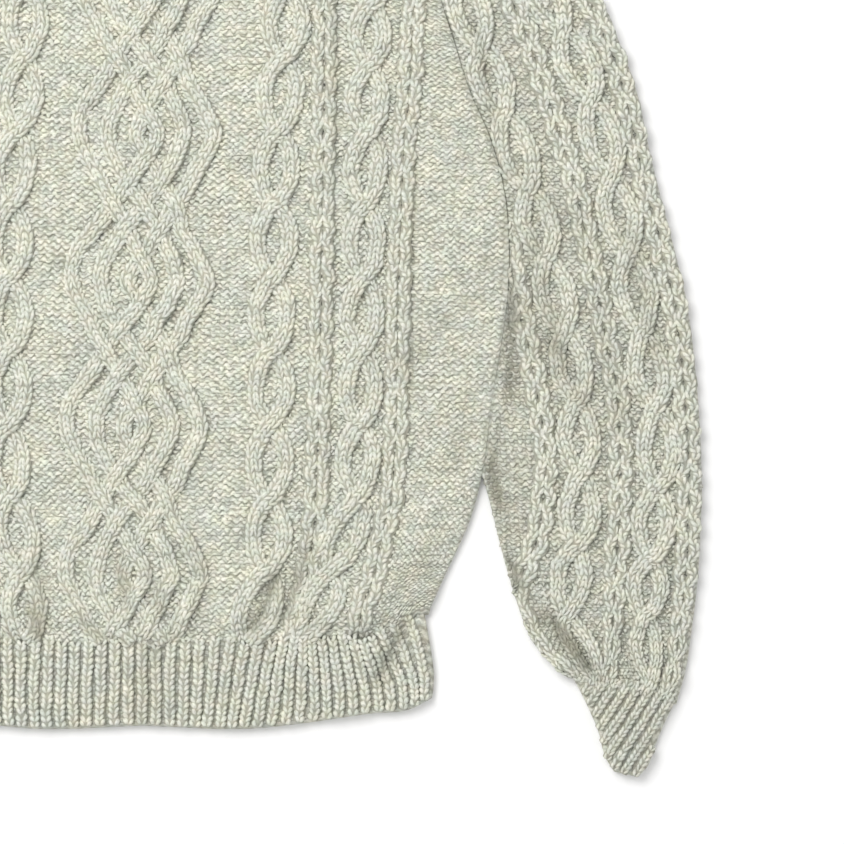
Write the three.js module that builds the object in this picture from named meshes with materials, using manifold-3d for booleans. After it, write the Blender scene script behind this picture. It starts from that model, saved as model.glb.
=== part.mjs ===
// A cable knit sweater of undyed wool, laid flat on its back with the sleeves down beside the body.
// Millimetres, +Z up, +Y towards the neck, +X to the right of someone looking down on it.
// The front carries a six-strand braid between rope cables and small bead columns, the sleeves
// carry ropes and beads, and hem, cuffs and neckband are ribbed. What rests on the ground is flat.
import * as THREE from "three";
import { mergeVertices } from "three/addons/utils/BufferGeometryUtils.js";
import Module from "manifold-3d";

const wasm = await Module();
wasm.setup();

// Driving dimensions
const seamGap = 0.3;
const sleeveGap = 0.8;
const ribGap = 1.3;
const wall = 4.5;
const backWall = 5;
const sleeveHollow = 2.4;
const cableRise = 4.6;
const crossingLift = 1.3;
const beadRise = 2.6;
const ribRise = 2.4;
const strandRadius = 6.6;
const ropeReach = 10.8;
const beadReach = 7.5;
const braidPeriod = 105.8;
const ropePeriod = braidPeriod / 2;
const beadPeriod = braidPeriod / 6;
const rowSpacing = braidPeriod / 10;
const sleeveRowSpacing = 12;
const ovalHeight = 141.5;
const sideNeckHeight = 323.6;
const neckHalfWidth = 90;
const frontNeckDrop = 75;
const backNeckDrop = 22;
const bandWidth = 26;
const shoulderSlope = 0.424;
const armpitHeight = 27;
const sleeveLeavesBody = -106.2;

const wool = { color: 0xd6d6c7, roughness: 0.95, metalness: 0 };

// The right edge of the body, from the shoulder down the armhole and the side to the hem rib.
const bodyEdge = [
  { y: -204.8, x: 206.6 },
  { y: -181.8, x: 216.7 },
  { y: -158.8, x: 227.5 },
  { y: -138.6, x: 236.2 },
  { y: -106.2, x: 244.8 },
  { y: -52.2, x: 252 },
  { y: -3.2, x: 259.9 },
  { y: 27, x: 263.5 },
  { y: 63, x: 264.2 },
  { y: 99.7, x: 260.6 },
  { y: 135, x: 251.3 },
  { y: 170.3, x: 236.2 },
  { y: 210.6, x: 223.2 },
  { y: 235.8, x: 215.3 },
  { y: 275.4, x: 203.8 },
];

// Where the body meets its hem rib, and where the rib ends, at each distance from the middle.
const ribTop = [
  { x: 0, y: -228.6 },
  { x: 78, y: -228 },
  { x: 135, y: -223.5 },
  { x: 166, y: -224 },
  { x: 180, y: -219.2 },
  { x: 196, y: -206 },
  { x: 206.6, y: -203.8 },
];
const ribEnd = [
  { x: 0, y: -286.9 },
  { x: 70, y: -289.4 },
  { x: 114, y: -285.5 },
  { x: 164, y: -278.3 },
  { x: 190, y: -276 },
  { x: 209, y: -267 },
];
const ribEdge = [
  { y: -268, x: 207.4 },
  { y: -253.8, x: 209.5 },
  { y: -239.4, x: 209 },
  { y: -204, x: 206 },
];

// The line down the middle of each knitted column of the front, at a few heights.
const frontColumns = {
  axis: [
    { y: -228.6, x: -5.4 },
    { y: -73.8, x: -5.4 },
    { y: 35.6, x: -1.4 },
    { y: 91.8, x: 1.8 },
    { y: 141.3, x: 3.6 },
    { y: 323.6, x: 5 },
  ],
  innerRope: [
    { y: -228.6, x: 76 },
    { y: -185.4, x: 90 },
    { y: -129.2, x: 93.6 },
    { y: 36.4, x: 96.5 },
    { y: 139.3, x: 100 },
    { y: 235.8, x: 106.6 },
    { y: 323.6, x: 111 },
  ],
  innerBead: [
    { y: -228.6, x: 106 },
    { y: -193.3, x: 116 },
    { y: -135.7, x: 124.6 },
    { y: 91.8, x: 130.3 },
    { y: 235.8, x: 131.8 },
    { y: 323.6, x: 135 },
  ],
  outerRope: [
    { y: -228.6, x: 117 },
    { y: -193.3, x: 136 },
    { y: -171.7, x: 139.7 },
    { y: -142.2, x: 152.6 },
    { y: -126.4, x: 157.7 },
    { y: 99, x: 164.2 },
    { y: 235.8, x: 167.8 },
    { y: 323.6, x: 170 },
  ],
  outerBead: [
    { y: -228.6, x: 153 },
    { y: -202.7, x: 157 },
    { y: -185.4, x: 163.4 },
    { y: -150.8, x: 170.6 },
    { y: -117.7, x: 178.6 },
    { y: 76.7, x: 183.6 },
    { y: 235.8, x: 193 },
    { y: 323.6, x: 196 },
  ],
};
const leftRopeShift = 7;

// The right sleeve from its top down: the height of a row at its two folds, and the outer fold's place.
const sleeveRows = [
  { along: 0, innerY: 271.8, outerX: 236.2, outerY: 274 },
  { along: 14, innerY: 257.4, outerX: 290.2, outerY: 263.2 },
  { along: 36, innerY: 235.8, outerX: 333.4, outerY: 235.8 },
  { along: 61, innerY: 210.6, outerX: 347.8, outerY: 208.4 },
  { along: 102, innerY: 170.3, outerX: 362.2, outerY: 167.4 },
  { along: 140, innerY: 135, outerX: 369.4, outerY: 127.8 },
  { along: 174, innerY: 99.7, outerX: 377.3, outerY: 91.8 },
  { along: 210, innerY: 63, outerX: 385.9, outerY: 55.8 },
  { along: 246, innerY: 27, outerX: 393.8, outerY: 19.8 },
  { along: 280, innerY: -3.2, outerX: 398.9, outerY: -16.2 },
  { along: 330, innerY: -52.2, outerX: 403.2, outerY: -63 },
  { along: 378, innerY: -106.2, outerX: 406.1, outerY: -109.8 },
  { along: 405, innerY: -132.1, outerX: 405.4, outerY: -138.6 },
  { along: 450, innerY: -176.8, outerX: 402.5, outerY: -181.8 },
  { along: 495, innerY: -222.8, outerX: 396, outerY: -223 },
  { along: 515, innerY: -240.1, outerX: 392, outerY: -246 },
  { along: 535, innerY: -252.4, outerX: 384.5, outerY: -271.8 },
];
const sleeveInner = [
  { y: -252.4, x: 306.7 },
  { y: -240.1, x: 292.3 },
  { y: -222.8, x: 279.4 },
  { y: -176.8, x: 263.5 },
  { y: -132.1, x: 252 },
  { y: -106.2, x: 245.6 },
];
const sleeveColumns = {
  innerBead: [
    { y: -248, x: 306 },
    { y: -214.2, x: 284 },
    { y: -182.5, x: 276 },
    { y: -138.6, x: 287.3 },
    { y: -116.3, x: 290.9 },
    { y: -16.2, x: 285 },
    { y: 272, x: 190 },
  ],
  innerRope: [
    { y: -252, x: 322 },
    { y: -220.7, x: 308.2 },
    { y: -204.1, x: 305.3 },
    { y: -158.8, x: 313.9 },
    { y: -107.6, x: 318.2 },
    { y: -6.1, x: 308.2 },
    { y: 97.6, x: 276.5 },
    { y: 193.3, x: 243.4 },
    { y: 272, x: 216 },
  ],
  middleBead: [
    { y: -261, x: 343 },
    { y: -156.6, x: 342.7 },
    { y: -85.3, x: 347 },
    { y: 41.4, x: 333.4 },
    { y: 146.5, x: 296.6 },
    { y: 197.6, x: 281.5 },
    { y: 272, x: 240 },
  ],
  outerRope: [
    { y: -261, x: 360 },
    { y: -204.1, x: 361 },
    { y: -163.8, x: 369 },
    { y: -110.5, x: 373.7 },
    { y: -0.4, x: 364.3 },
    { y: 109.8, x: 339.1 },
    { y: 217.8, x: 300.2 },
    { y: 272, x: 260 },
  ],
};
const cuffRows = [
  { along: 0, innerX: 313.9, innerY: -254.6, outerX: 376, outerY: -270.1 },
  { along: 0.33, innerX: 319.5, innerY: -272, outerX: 373, outerY: -290 },
  { along: 0.66, innerX: 328.5, innerY: -292, outerX: 368, outerY: -309 },
  { along: 1, innerX: 337, innerY: -317, outerX: 358.6, outerY: -325.5 },
];

// How a braid strand that runs down to the right moves between one wide oval and the next:
// its place from the braid's axis on the outer, middle and inner course, and whether it is on top.
const braidCourses = [
  { phase: 0, outer: -49, middle: -28.4, inner: -7.4, over: 0 },
  { phase: 0.15, outer: -46, middle: -22, inner: 0, over: -1 },
  { phase: 0.34, outer: -34, middle: -12.2, inner: 12.2, over: -1 },
  { phase: 0.5, outer: -22.3, middle: 0, inner: 22.3, over: 1 },
  { phase: 0.66, outer: -12.2, middle: 12.2, inner: 34, over: -1 },
  { phase: 0.85, outer: 0, middle: 22, inner: 46, over: 1 },
  { phase: 1, outer: 7.4, middle: 28.4, inner: 49, over: 0 },
];

// Reads a column of a table at a place between its rows, on smooth curves through the rows.
function readTable(rows, along, column, place) {
  const last = rows.length - 1;
  let after = rows.findIndex((row) => row[along] > place);
  if (after < 0) after = last;
  if (after === 0) after = 1;
  const before = after - 1;
  const slope = (index) => {
    const low = rows[Math.max(index - 1, 0)];
    const high = rows[Math.min(index + 1, last)];
    return (high[column] - low[column]) / (high[along] - low[along]);
  };
  const step = rows[after][along] - rows[before][along];
  const t = THREE.MathUtils.clamp((place - rows[before][along]) / step, 0, 1);
  const stay = 1 - t;
  return (
    rows[before][column] * stay * stay * (1 + 2 * t) +
    rows[after][column] * t * t * (3 - 2 * t) +
    slope(before) * step * t * stay * stay -
    slope(after) * step * t * t * stay
  );
}

const bodyEdgeX = (y) => readTable(bodyEdge, "y", "x", y);
const columnX = (rows, y) => readTable(rows, "y", "x", y);
const heightAt = (rows, x) => readTable(rows, "x", "y", x);

// A rise of 0 to 1 over the given width from a folded edge, round like a quarter of an ellipse.
function foldRise(distance, width) {
  const inside = THREE.MathUtils.clamp(distance / width, 0, 1);
  return Math.sqrt(1 - (1 - inside) ** 2);
}

// The height of one strand of two stitches' width, lifted where it passes over another.
function strandHeight(distance, over) {
  const inside = 1 - (distance / strandRadius) ** 2;
  return inside > 0 ? cableRise * Math.sqrt(inside) + crossingLift * over : 0;
}

// Two strands that turn round each other; the one from upper right to lower left is on top.
function ropeHeight(distance, y) {
  const turn = (Math.PI * (ovalHeight - y)) / ropePeriod;
  const reach = ropeReach * Math.sin(turn);
  const over = Math.cos(turn);
  return Math.max(
    strandHeight(distance - reach, -over),
    strandHeight(distance + reach, over),
    0,
  );
}

// A narrow raised column that swells between its eyelets.
function beadHeight(distance, y) {
  const inside = 1 - (distance / beadReach) ** 2;
  const swell = 0.75 + 0.25 * Math.cos((2 * Math.PI * (ovalHeight - y)) / beadPeriod);
  return inside > 0 ? beadRise * swell * Math.sqrt(inside) : 0;
}

// Six strands plaited over and under, three on each course from each side.
function braidHeight(distance, y) {
  const phase = THREE.MathUtils.euclideanModulo((ovalHeight - y) / braidPeriod, 1);
  const over = readTable(braidCourses, "phase", "over", phase);
  const heights = ["outer", "middle", "inner"].flatMap((course) => {
    const place = readTable(braidCourses, "phase", course, phase);
    return [strandHeight(distance - place, over), strandHeight(distance + place, -over)];
  });
  return Math.max(0, ...heights);
}

// Sorted grid lines between two edges, pushed apart where columns crowd or leave the piece.
function spreadLines(lines, low, high) {
  const least = 0.9;
  const last = lines.length - 1;
  const pushed = lines.map((line, k) => Math.max(line, low + k * least));
  for (let k = 1; k <= last; k += 1) pushed[k] = Math.max(pushed[k], pushed[k - 1] + least);
  for (let k = last; k >= 0; k -= 1) pushed[k] = Math.min(pushed[k], high - (last - k) * least);
  return pushed;
}

// A closed solid under a grid of points: its sides go down to a flat underside, drawn in by inset.
// The underside is laid in strips from one side of the grid to the other, row by row.
function closedPanel(grid, floor, inset = 0) {
  const rows = grid.length;
  const columns = grid[0].length;
  const loop = [];
  for (let c = 0; c < columns; c += 1) loop.push([0, c]);
  for (let r = 1; r < rows; r += 1) loop.push([r, columns - 1]);
  for (let c = columns - 2; c >= 0; c -= 1) loop.push([rows - 1, c]);
  for (let r = rows - 2; r > 0; r -= 1) loop.push([r, 0]);
  const rim = loop.map(([r, c]) => new THREE.Vector2(grid[r][c].x, grid[r][c].y));
  if (THREE.ShapeUtils.isClockWise(rim))
    return closedPanel(grid.map((row) => [...row].reverse()), floor, inset);
  const foot = rim.map((point, k) => {
    const next = rim[(k + 1) % rim.length];
    const previous = rim[(k + rim.length - 1) % rim.length];
    const inward = next.clone().sub(previous).normalize().rotateAround(new THREE.Vector2(), Math.PI / 2);
    return point.clone().addScaledVector(inward, inset);
  });
  const index = [];
  for (let r = 0; r + 1 < rows; r += 1)
    for (let c = 0; c + 1 < columns; c += 1) {
      const corner = r * columns + c;
      index.push(corner, corner + 1, corner + columns + 1);
      index.push(corner, corner + columns + 1, corner + columns);
    }
  const first = rows * columns;
  loop.forEach(([r, c], k) => {
    const [nextR, nextC] = loop[(k + 1) % loop.length];
    const upper = r * columns + c;
    const nextUpper = nextR * columns + nextC;
    const nextFoot = first + ((k + 1) % loop.length);
    index.push(first + k, nextFoot, nextUpper, first + k, nextUpper, upper);
  });
  const footAt = (r, c) => first + loop.findIndex(([loopR, loopC]) => loopR === r && loopC === c);
  const lastRow = rows - 1;
  const lastColumn = columns - 1;
  for (let c = 0; c < lastColumn; c += 1) {
    index.push(footAt(1, 0), footAt(0, c + 1), footAt(0, c));
    index.push(footAt(lastRow - 1, 0), footAt(lastRow, c), footAt(lastRow, c + 1));
  }
  index.push(footAt(1, 0), footAt(1, lastColumn), footAt(0, lastColumn));
  index.push(footAt(lastRow - 1, 0), footAt(lastRow, lastColumn), footAt(lastRow - 1, lastColumn));
  for (let r = 1; r + 1 < lastRow; r += 1) {
    index.push(footAt(r, 0), footAt(r + 1, 0), footAt(r + 1, lastColumn));
    index.push(footAt(r, 0), footAt(r + 1, lastColumn), footAt(r, lastColumn));
  }
  const points = [...grid.flat(), ...foot.map(({ x, y }) => ({ x, y, z: floor }))];
  const geometry = new THREE.BufferGeometry();
  const places = new Float32Array(points.flatMap(({ x, y, z }) => [x, y, z]));
  geometry.setAttribute("position", new THREE.BufferAttribute(places, 3));
  geometry.setIndex(index);
  return geometry;
}

// A straight-sided block over a flat outline, with its edges eased where a bevel is given.
function slab(outline, low, high, bevel = 0) {
  const block = new THREE.ExtrudeGeometry(new THREE.Shape(outline), {
    depth: high - low - 2 * bevel,
    bevelEnabled: bevel > 0,
    bevelSize: bevel,
    bevelOffset: -bevel,
    bevelThickness: bevel,
    bevelSegments: 1,
  });
  return block.translate(0, 0, low + bevel);
}

function toSolid(geometry) {
  const bare = geometry.clone();
  bare.deleteAttribute("normal");
  bare.deleteAttribute("uv");
  const merged = mergeVertices(bare);
  return new wasm.Manifold(
    new wasm.Mesh({
      numProp: 3,
      vertProperties: merged.attributes.position.array,
      triVerts: new Uint32Array(merged.index.array),
    }),
  );
}

function toGeometry(solid) {
  const made = solid.getMesh();
  const geometry = new THREE.BufferGeometry();
  geometry.setAttribute("position", new THREE.BufferAttribute(made.vertProperties, 3));
  geometry.setIndex([...made.triVerts]);
  return geometry;
}

const cut = (piece, tool) => toGeometry(toSolid(piece).subtract(toSolid(tool)));
const join = (piece, other) => toGeometry(toSolid(piece).add(toSolid(other)));

// Grid lines across a rope and across a bead column, from its middle.
const ropeLines = [-18.5, -9.5, 0, 9.5, 18.5];
const beadLines = [-beadReach, 0, beadReach];

const frontFloor = backWall + seamGap;
const frontTop = frontFloor + wall;
const shoulderDrop = (x) => shoulderSlope * Math.max(0, Math.abs(x) - neckHalfWidth);

// The points of the front: rows follow the hem rib at the bottom and the shoulders at the top.
function frontGrid() {
  const braidLine = 5.6;
  const braidSteps = Array.from({ length: 21 }, (_, k) => k - 10);
  const foldLines = [15, 5, 0];
  const eased = 2.5;
  const sideFold = 16;
  const seamGroove = 5;
  const lowest = ribTop[0].y;
  const sidesFrom = 25;
  const slopeFrom = 90;
  const hemLiftFrom = -170;
  const blouseRise = 0.55;
  const blouseHeight = 24;
  const blouseWidth = 22;
  const heights = [lowest, lowest + eased];
  const rowsBelowOval = 34;
  for (let y = ovalHeight - rowsBelowOval * rowSpacing; y < sideNeckHeight - rowSpacing; y += rowSpacing)
    heights.push(y);
  heights.push(sideNeckHeight - eased, sideNeckHeight);
  return heights.map((y) => {
    const edge = bodyEdgeX(y);
    const at = (name) => columnX(frontColumns[name], y);
    const sideLines = [
      ...ropeLines.map((step) => at("innerRope") + step),
      ...beadLines.map((step) => at("innerBead") + step),
      ...ropeLines.map((step) => at("outerRope") + step),
      ...beadLines.map((step) => at("outerBead") + step),
      (at("outerBead") + edge) / 2,
      ...foldLines.map((step) => edge - step),
    ];
    const braidLines = braidSteps.map((step) => at("axis") + step * braidLine);
    const leftLines = sideLines.map((x) => (x > at("outerRope") - sidesFrom ? -x : leftRopeShift - x)).reverse();
    const lines = spreadLines([...leftLines, ...braidLines, ...sideLines], -edge, edge);
    return lines.map((x) => {
      const nearTop = THREE.MathUtils.clamp((y - slopeFrom) / (sideNeckHeight - slopeFrom), 0, 1) ** 2;
      const nearHem = THREE.MathUtils.clamp((hemLiftFrom - y) / (hemLiftFrom - lowest), 0, 1);
      const lift = heightAt(ribTop, Math.abs(x)) - lowest;
      const place = y - shoulderDrop(x) * nearTop + lift * nearHem;
      const relief = Math.max(
        braidHeight(x - at("axis"), y),
        ropeHeight(x - at("innerRope"), y),
        ropeHeight(x - leftRopeShift + at("innerRope"), y),
        ...[1, -1].flatMap((side) => [
          beadHeight(x - side * at("innerBead"), y),
          ropeHeight(x - side * at("outerRope"), y),
          beadHeight(x - side * at("outerBead"), y),
        ]),
      );
      const fold = THREE.MathUtils.smoothstep(armpitHeight - y, -20, 20);
      const side = THREE.MathUtils.lerp(
        0.6 + 0.4 * foldRise(edge - Math.abs(x), seamGroove),
        0.25 + 0.75 * foldRise(edge - Math.abs(x), sideFold),
        fold,
      );
      const blouse = 1 + blouseRise * Math.exp(-(((y - lowest - blouseHeight) / blouseWidth) ** 2));
      const ends = Math.min(foldRise(y - lowest, 14), foldRise(sideNeckHeight - y, 12));
      const height = (wall * blouse + relief) * side * (0.45 + 0.55 * ends);
      return { x, y: place, z: frontFloor + height };
    });
  });
}

// The body's outline in plan, from the hem rib up to the shoulders, for the flat back.
function backOutline() {
  const right = [];
  for (let x = 0; x <= 200; x += 25) right.push(new THREE.Vector2(x, heightAt(ribTop, x)));
  for (let y = -203; y <= 275.4; y += 18.4) right.push(new THREE.Vector2(bodyEdgeX(y), y));
  const shoulderX = bodyEdge.at(-1).x;
  right.push(new THREE.Vector2(shoulderX, sideNeckHeight - shoulderDrop(shoulderX)));
  right.push(new THREE.Vector2(neckHalfWidth, sideNeckHeight));
  const left = right.slice(1).map(({ x, y }) => new THREE.Vector2(-x, y));
  return [...right, ...left.reverse()];
}

// An upright cylinder of elliptic plan that cuts a neckline of the given drop.
function neckCutter(drop) {
  const turns = Array.from({ length: 64 }, (_, k) => (k * Math.PI) / 32);
  const outline = turns.map(
    (turn) => new THREE.Vector2(neckHalfWidth * Math.cos(turn), sideNeckHeight + drop * Math.sin(turn)),
  );
  return slab(outline, -10, 40);
}

// The hem rib: upright ridges between the body's lower edge and the hem, crowded towards the sides.
function hemRibGrid() {
  const ridges = 23;
  const pitch = 9.8;
  const crowding = 0.043;
  const halfWidth = pitch * ridges - crowding * ridges ** 2;
  const shares = [0, 0.07, 0.93, 1];
  const steps = Array.from({ length: 4 * ridges + 1 }, (_, k) => k / 2 - ridges);
  return steps.map((step) => {
    const place = pitch * step - crowding * step * Math.abs(step);
    const inside = THREE.MathUtils.clamp((ridges - Math.abs(step)) / 1.5, 0, 1);
    const ridge = Number.isInteger(step) ? ribRise : 0;
    return shares.map((share) => {
      const edge = columnX(ribEdge, THREE.MathUtils.lerp(ribEdge[0].y, ribEdge.at(-1).y, share));
      const x = (place * edge) / halfWidth;
      const low = heightAt(ribEnd, Math.abs(x));
      const high = heightAt(ribTop, Math.abs(x)) - ribGap;
      const eased = share === 0 || share === 1 ? 0.6 : 1;
      const z = frontFloor + (wall - 1 + ridge) * eased * (0.5 + 0.5 * inside);
      return { x, y: THREE.MathUtils.lerp(low, high, share), z };
    });
  });
}

// The flat back of the hem rib, under the ridged one.
function hemRibBackOutline() {
  const right = [];
  for (let x = 0; x <= 207; x += 23) right.push(new THREE.Vector2(x, heightAt(ribEnd, x)));
  for (let y = -254; y <= -206; y += 16) right.push(new THREE.Vector2(columnX(ribEdge, y), y));
  for (let x = 200; x > 0; x -= 25) right.push(new THREE.Vector2(x, heightAt(ribTop, x) - ribGap));
  const left = right.slice(1).map(({ x, y }) => new THREE.Vector2(-x, y));
  const middle = new THREE.Vector2(0, ribTop[0].y - ribGap);
  return [...right, middle, ...left.reverse()];
}

// The ends of one row across a sleeve.
function sleeveRow(along) {
  const read = (column) => readTable(sleeveRows, "along", column, along);
  const innerY = read("innerY");
  const innerX = innerY > sleeveLeavesBody ? bodyEdgeX(innerY) + sleeveGap : columnX(sleeveInner, innerY);
  return { innerX, innerY, outerX: read("outerX"), outerY: read("outerY") };
}

const sleeveTop = 2 * wall + sleeveHollow;

function sleeveGrid(side) {
  const rim = 5.5;
  const foldWidth = 17;
  const seamGroove = 6;
  const length = sleeveRows.at(-1).along;
  const rows = Math.round(length / sleeveRowSpacing);
  return Array.from({ length: rows + 1 }, (_, row) => {
    const along = (length * row) / rows;
    const { innerX, innerY, outerX, outerY } = sleeveRow(along);
    const middle = (innerY + outerY) / 2;
    const at = (name) => columnX(sleeveColumns[name], middle);
    const wide = outerX - innerX;
    const lines = spreadLines(
      [
        innerX,
        innerX + 5,
        innerX + 14,
        ...beadLines.map((step) => at("innerBead") + step),
        ...ropeLines.map((step) => at("innerRope") + step),
        ...beadLines.map((step) => at("middleBead") + step),
        ...ropeLines.map((step) => at("outerRope") + step),
        outerX - 14,
        outerX - 5,
        outerX,
      ],
      innerX,
      outerX,
    );
    return lines.map((x) => {
      const y = THREE.MathUtils.lerp(innerY, outerY, (x - innerX) / wide);
      const fromSeam = x - innerX;
      const fold = THREE.MathUtils.smoothstep(armpitHeight - y, -20, 20);
      const inner = THREE.MathUtils.lerp(
        0.75 + 0.25 * foldRise(fromSeam, seamGroove),
        foldRise(fromSeam, foldWidth),
        fold,
      );
      const outer = foldRise(outerX - x, foldWidth);
      const ends = 0.7 + 0.3 * foldRise(length - along, 16);
      const relief = Math.max(
        ropeHeight(side * (x - at("innerRope")), y),
        ropeHeight(side * (x - at("outerRope")), y),
        beadHeight(x - at("innerBead"), y),
        beadHeight(x - at("middleBead"), y),
        beadHeight(x - outerX + 12, y),
      );
      const share = Math.min(inner, outer);
      const top = rim + (sleeveTop - rim + relief * Math.min(1, share + 0.3)) * share;
      return { x: side * x, y, z: top * (along > 0 ? ends : 0.75) };
    });
  });
}

// The room inside a sleeve, which runs out through the armhole and the cuff end.
function sleeveRoom(side) {
  const inset = 6;
  const past = 12;
  const inner = [];
  const outer = [];
  const roomRows = 28;
  const highest = 24;
  const length = sleeveRows.at(-1).along;
  for (let row = 0; row <= roomRows; row += 1) {
    const along = THREE.MathUtils.lerp(highest, length, row / roomRows);
    const { innerX, innerY, outerX, outerY } = sleeveRow(along);
    const open = innerY > armpitHeight;
    inner.push(new THREE.Vector2(side * (innerX + (open ? -past : inset)), innerY));
    outer.push(new THREE.Vector2(side * (outerX - inset), outerY));
  }
  const end = new THREE.Vector2(-side * 0.24, -0.97).multiplyScalar(past);
  inner.push(inner.at(-1).clone().add(end));
  outer.push(outer.at(-1).clone().add(end));
  const outline = [...inner, ...outer.reverse()];
  return slab(outline, wall, wall + sleeveHollow);
}

// The cuff: ridges that run together towards its narrow, open end.
function cuffGrid(side) {
  const ridges = 8;
  const last = cuffRows.length - 1;
  return cuffRows.map((row, r) => {
    const lines = [];
    for (let k = 0; k <= 2 * ridges; k += 1) {
      const share = k / (2 * ridges);
      const round = 0.35 + 0.65 * foldRise(Math.min(share, 1 - share), 0.28);
      const ridge = k % 2 === 0 ? 0 : ribRise;
      const eased = r === 0 || r === last ? 0.8 : 1;
      const x = THREE.MathUtils.lerp(row.innerX, row.outerX, share);
      const y = THREE.MathUtils.lerp(row.innerY, row.outerY, share);
      lines.push({ x: side * x, y, z: (sleeveTop + ridge) * round * eased });
    }
    return lines;
  });
}

function cuffRoom(side) {
  const inset = 5;
  const past = 12;
  const first = cuffRows[0];
  const last = cuffRows.at(-1);
  const corners = [
    [first.innerX + inset - 3, first.innerY + past],
    [first.innerX + inset, first.innerY - 2],
    [last.innerX + inset, last.innerY - 2],
    [last.innerX + inset, last.innerY - past],
    [last.outerX - inset, last.outerY - past],
    [last.outerX - inset, last.outerY - 2],
    [first.outerX - inset, first.outerY - 2],
    [first.outerX - inset + 3, first.outerY + past],
  ];
  const outline = corners.map(([x, y]) => new THREE.Vector2(side * x, y));
  return slab(outline, wall, wall + sleeveHollow);
}

// One half of the neckband: ribs that run from the neckline seam to the free edge.
function bandGrid(drop, rise, low, steps, ridgeRise) {
  const free = { halfWidth: neckHalfWidth - 18, height: sideNeckHeight + 12 };
  const shares = [0, 0.08, 0.92, 1];
  return Array.from({ length: steps + 1 }, (_, k) => {
    const turn = (Math.PI * k) / steps;
    const seamX = (neckHalfWidth - seamGap) * Math.cos(turn);
    const seamY = sideNeckHeight - (drop - seamGap) * Math.sin(turn);
    const freeX = free.halfWidth * Math.cos(turn);
    const freeY = free.height - (free.height - sideNeckHeight + drop - rise) * Math.sin(turn);
    const ridge = k % 2 === 1 ? ridgeRise : 0;
    return shares.map((share) => {
      const eased = share === 0 || share === 1 ? 0.7 : 1;
      return {
        x: THREE.MathUtils.lerp(seamX, freeX, share),
        y: THREE.MathUtils.lerp(seamY, freeY, share),
        z: low + (wall + ridge) * eased,
      };
    });
  });
}

// The whole neckband: the half on the front lies on the half behind it at the two side folds.
function neckband() {
  const frontHalf = closedPanel(bandGrid(frontNeckDrop, bandWidth, frontFloor, 40, ribRise), frontFloor);
  const backHalf = closedPanel(bandGrid(backNeckDrop, bandWidth, 0, 20, 0), 0);
  const foldX = neckHalfWidth - 7.5;
  const foldY = sideNeckHeight + 4.6;
  const joined = [1, -1].reduce((band, side) => {
    const outline = [
      [foldX + 4, foldY - 6],
      [foldX + 4, foldY - 3],
      [foldX - 5, foldY + 3],
      [foldX - 5, foldY - 1],
    ].map(([x, y]) => new THREE.Vector2(side * x, y));
    return join(band, slab(outline, wall - 1, frontFloor + 1));
  }, backHalf);
  return join(frontHalf, joined);
}

const group = new THREE.Group();

function addPiece(name, geometry) {
  const material = new THREE.MeshStandardMaterial({ ...wool, flatShading: true });
  const mesh = new THREE.Mesh(geometry, material);
  mesh.name = name;
  group.add(mesh);
}

const easedEdge = 1.5;
const footInset = 3;
addPiece("front", cut(closedPanel(frontGrid(), frontFloor), neckCutter(frontNeckDrop)));
addPiece("back", cut(slab(backOutline(), 0, backWall, easedEdge), neckCutter(backNeckDrop)));
addPiece("hem_rib_front", closedPanel(hemRibGrid(), frontFloor));
addPiece("hem_rib_back", slab(hemRibBackOutline(), 0, backWall, easedEdge));
addPiece("neckband", neckband());
for (const [name, side] of [
  ["right", 1],
  ["left", -1],
]) {
  addPiece(`sleeve_${name}`, cut(closedPanel(sleeveGrid(side), 0, footInset), sleeveRoom(side)));
  addPiece(`cuff_${name}`, cut(closedPanel(cuffGrid(side), 0, footInset), cuffRoom(side)));
}

// The origin is at the middle of the whole, on the ground.
const middle = new THREE.Box3().setFromObject(group).getCenter(new THREE.Vector3());
group.position.set(-middle.x, -middle.y, 0);

export default group;
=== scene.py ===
import math

import bpy
import numpy as np
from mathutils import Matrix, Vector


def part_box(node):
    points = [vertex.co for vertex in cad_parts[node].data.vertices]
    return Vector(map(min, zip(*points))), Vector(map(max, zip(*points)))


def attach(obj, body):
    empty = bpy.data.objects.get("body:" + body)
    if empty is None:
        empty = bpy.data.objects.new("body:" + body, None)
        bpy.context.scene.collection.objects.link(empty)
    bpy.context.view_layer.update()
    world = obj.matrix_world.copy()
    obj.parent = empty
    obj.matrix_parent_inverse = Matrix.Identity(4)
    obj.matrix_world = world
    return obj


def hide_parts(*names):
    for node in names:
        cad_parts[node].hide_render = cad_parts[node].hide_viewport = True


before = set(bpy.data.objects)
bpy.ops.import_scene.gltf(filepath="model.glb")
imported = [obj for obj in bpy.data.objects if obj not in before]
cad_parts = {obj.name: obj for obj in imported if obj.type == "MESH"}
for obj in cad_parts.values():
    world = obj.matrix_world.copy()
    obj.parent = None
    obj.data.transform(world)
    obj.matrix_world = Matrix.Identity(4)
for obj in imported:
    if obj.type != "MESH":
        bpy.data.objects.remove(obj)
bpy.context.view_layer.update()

# Sizes are in millimetres in the garment's own frame: x from its middle, y up from the armpits,
# z up from the surface it lies on. A mesh is turned into metres in the frame when it is made.
millimetre = 0.001
sideNeckHeight = 323.6
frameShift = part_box("back")[1][1] - sideNeckHeight * millimetre

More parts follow.
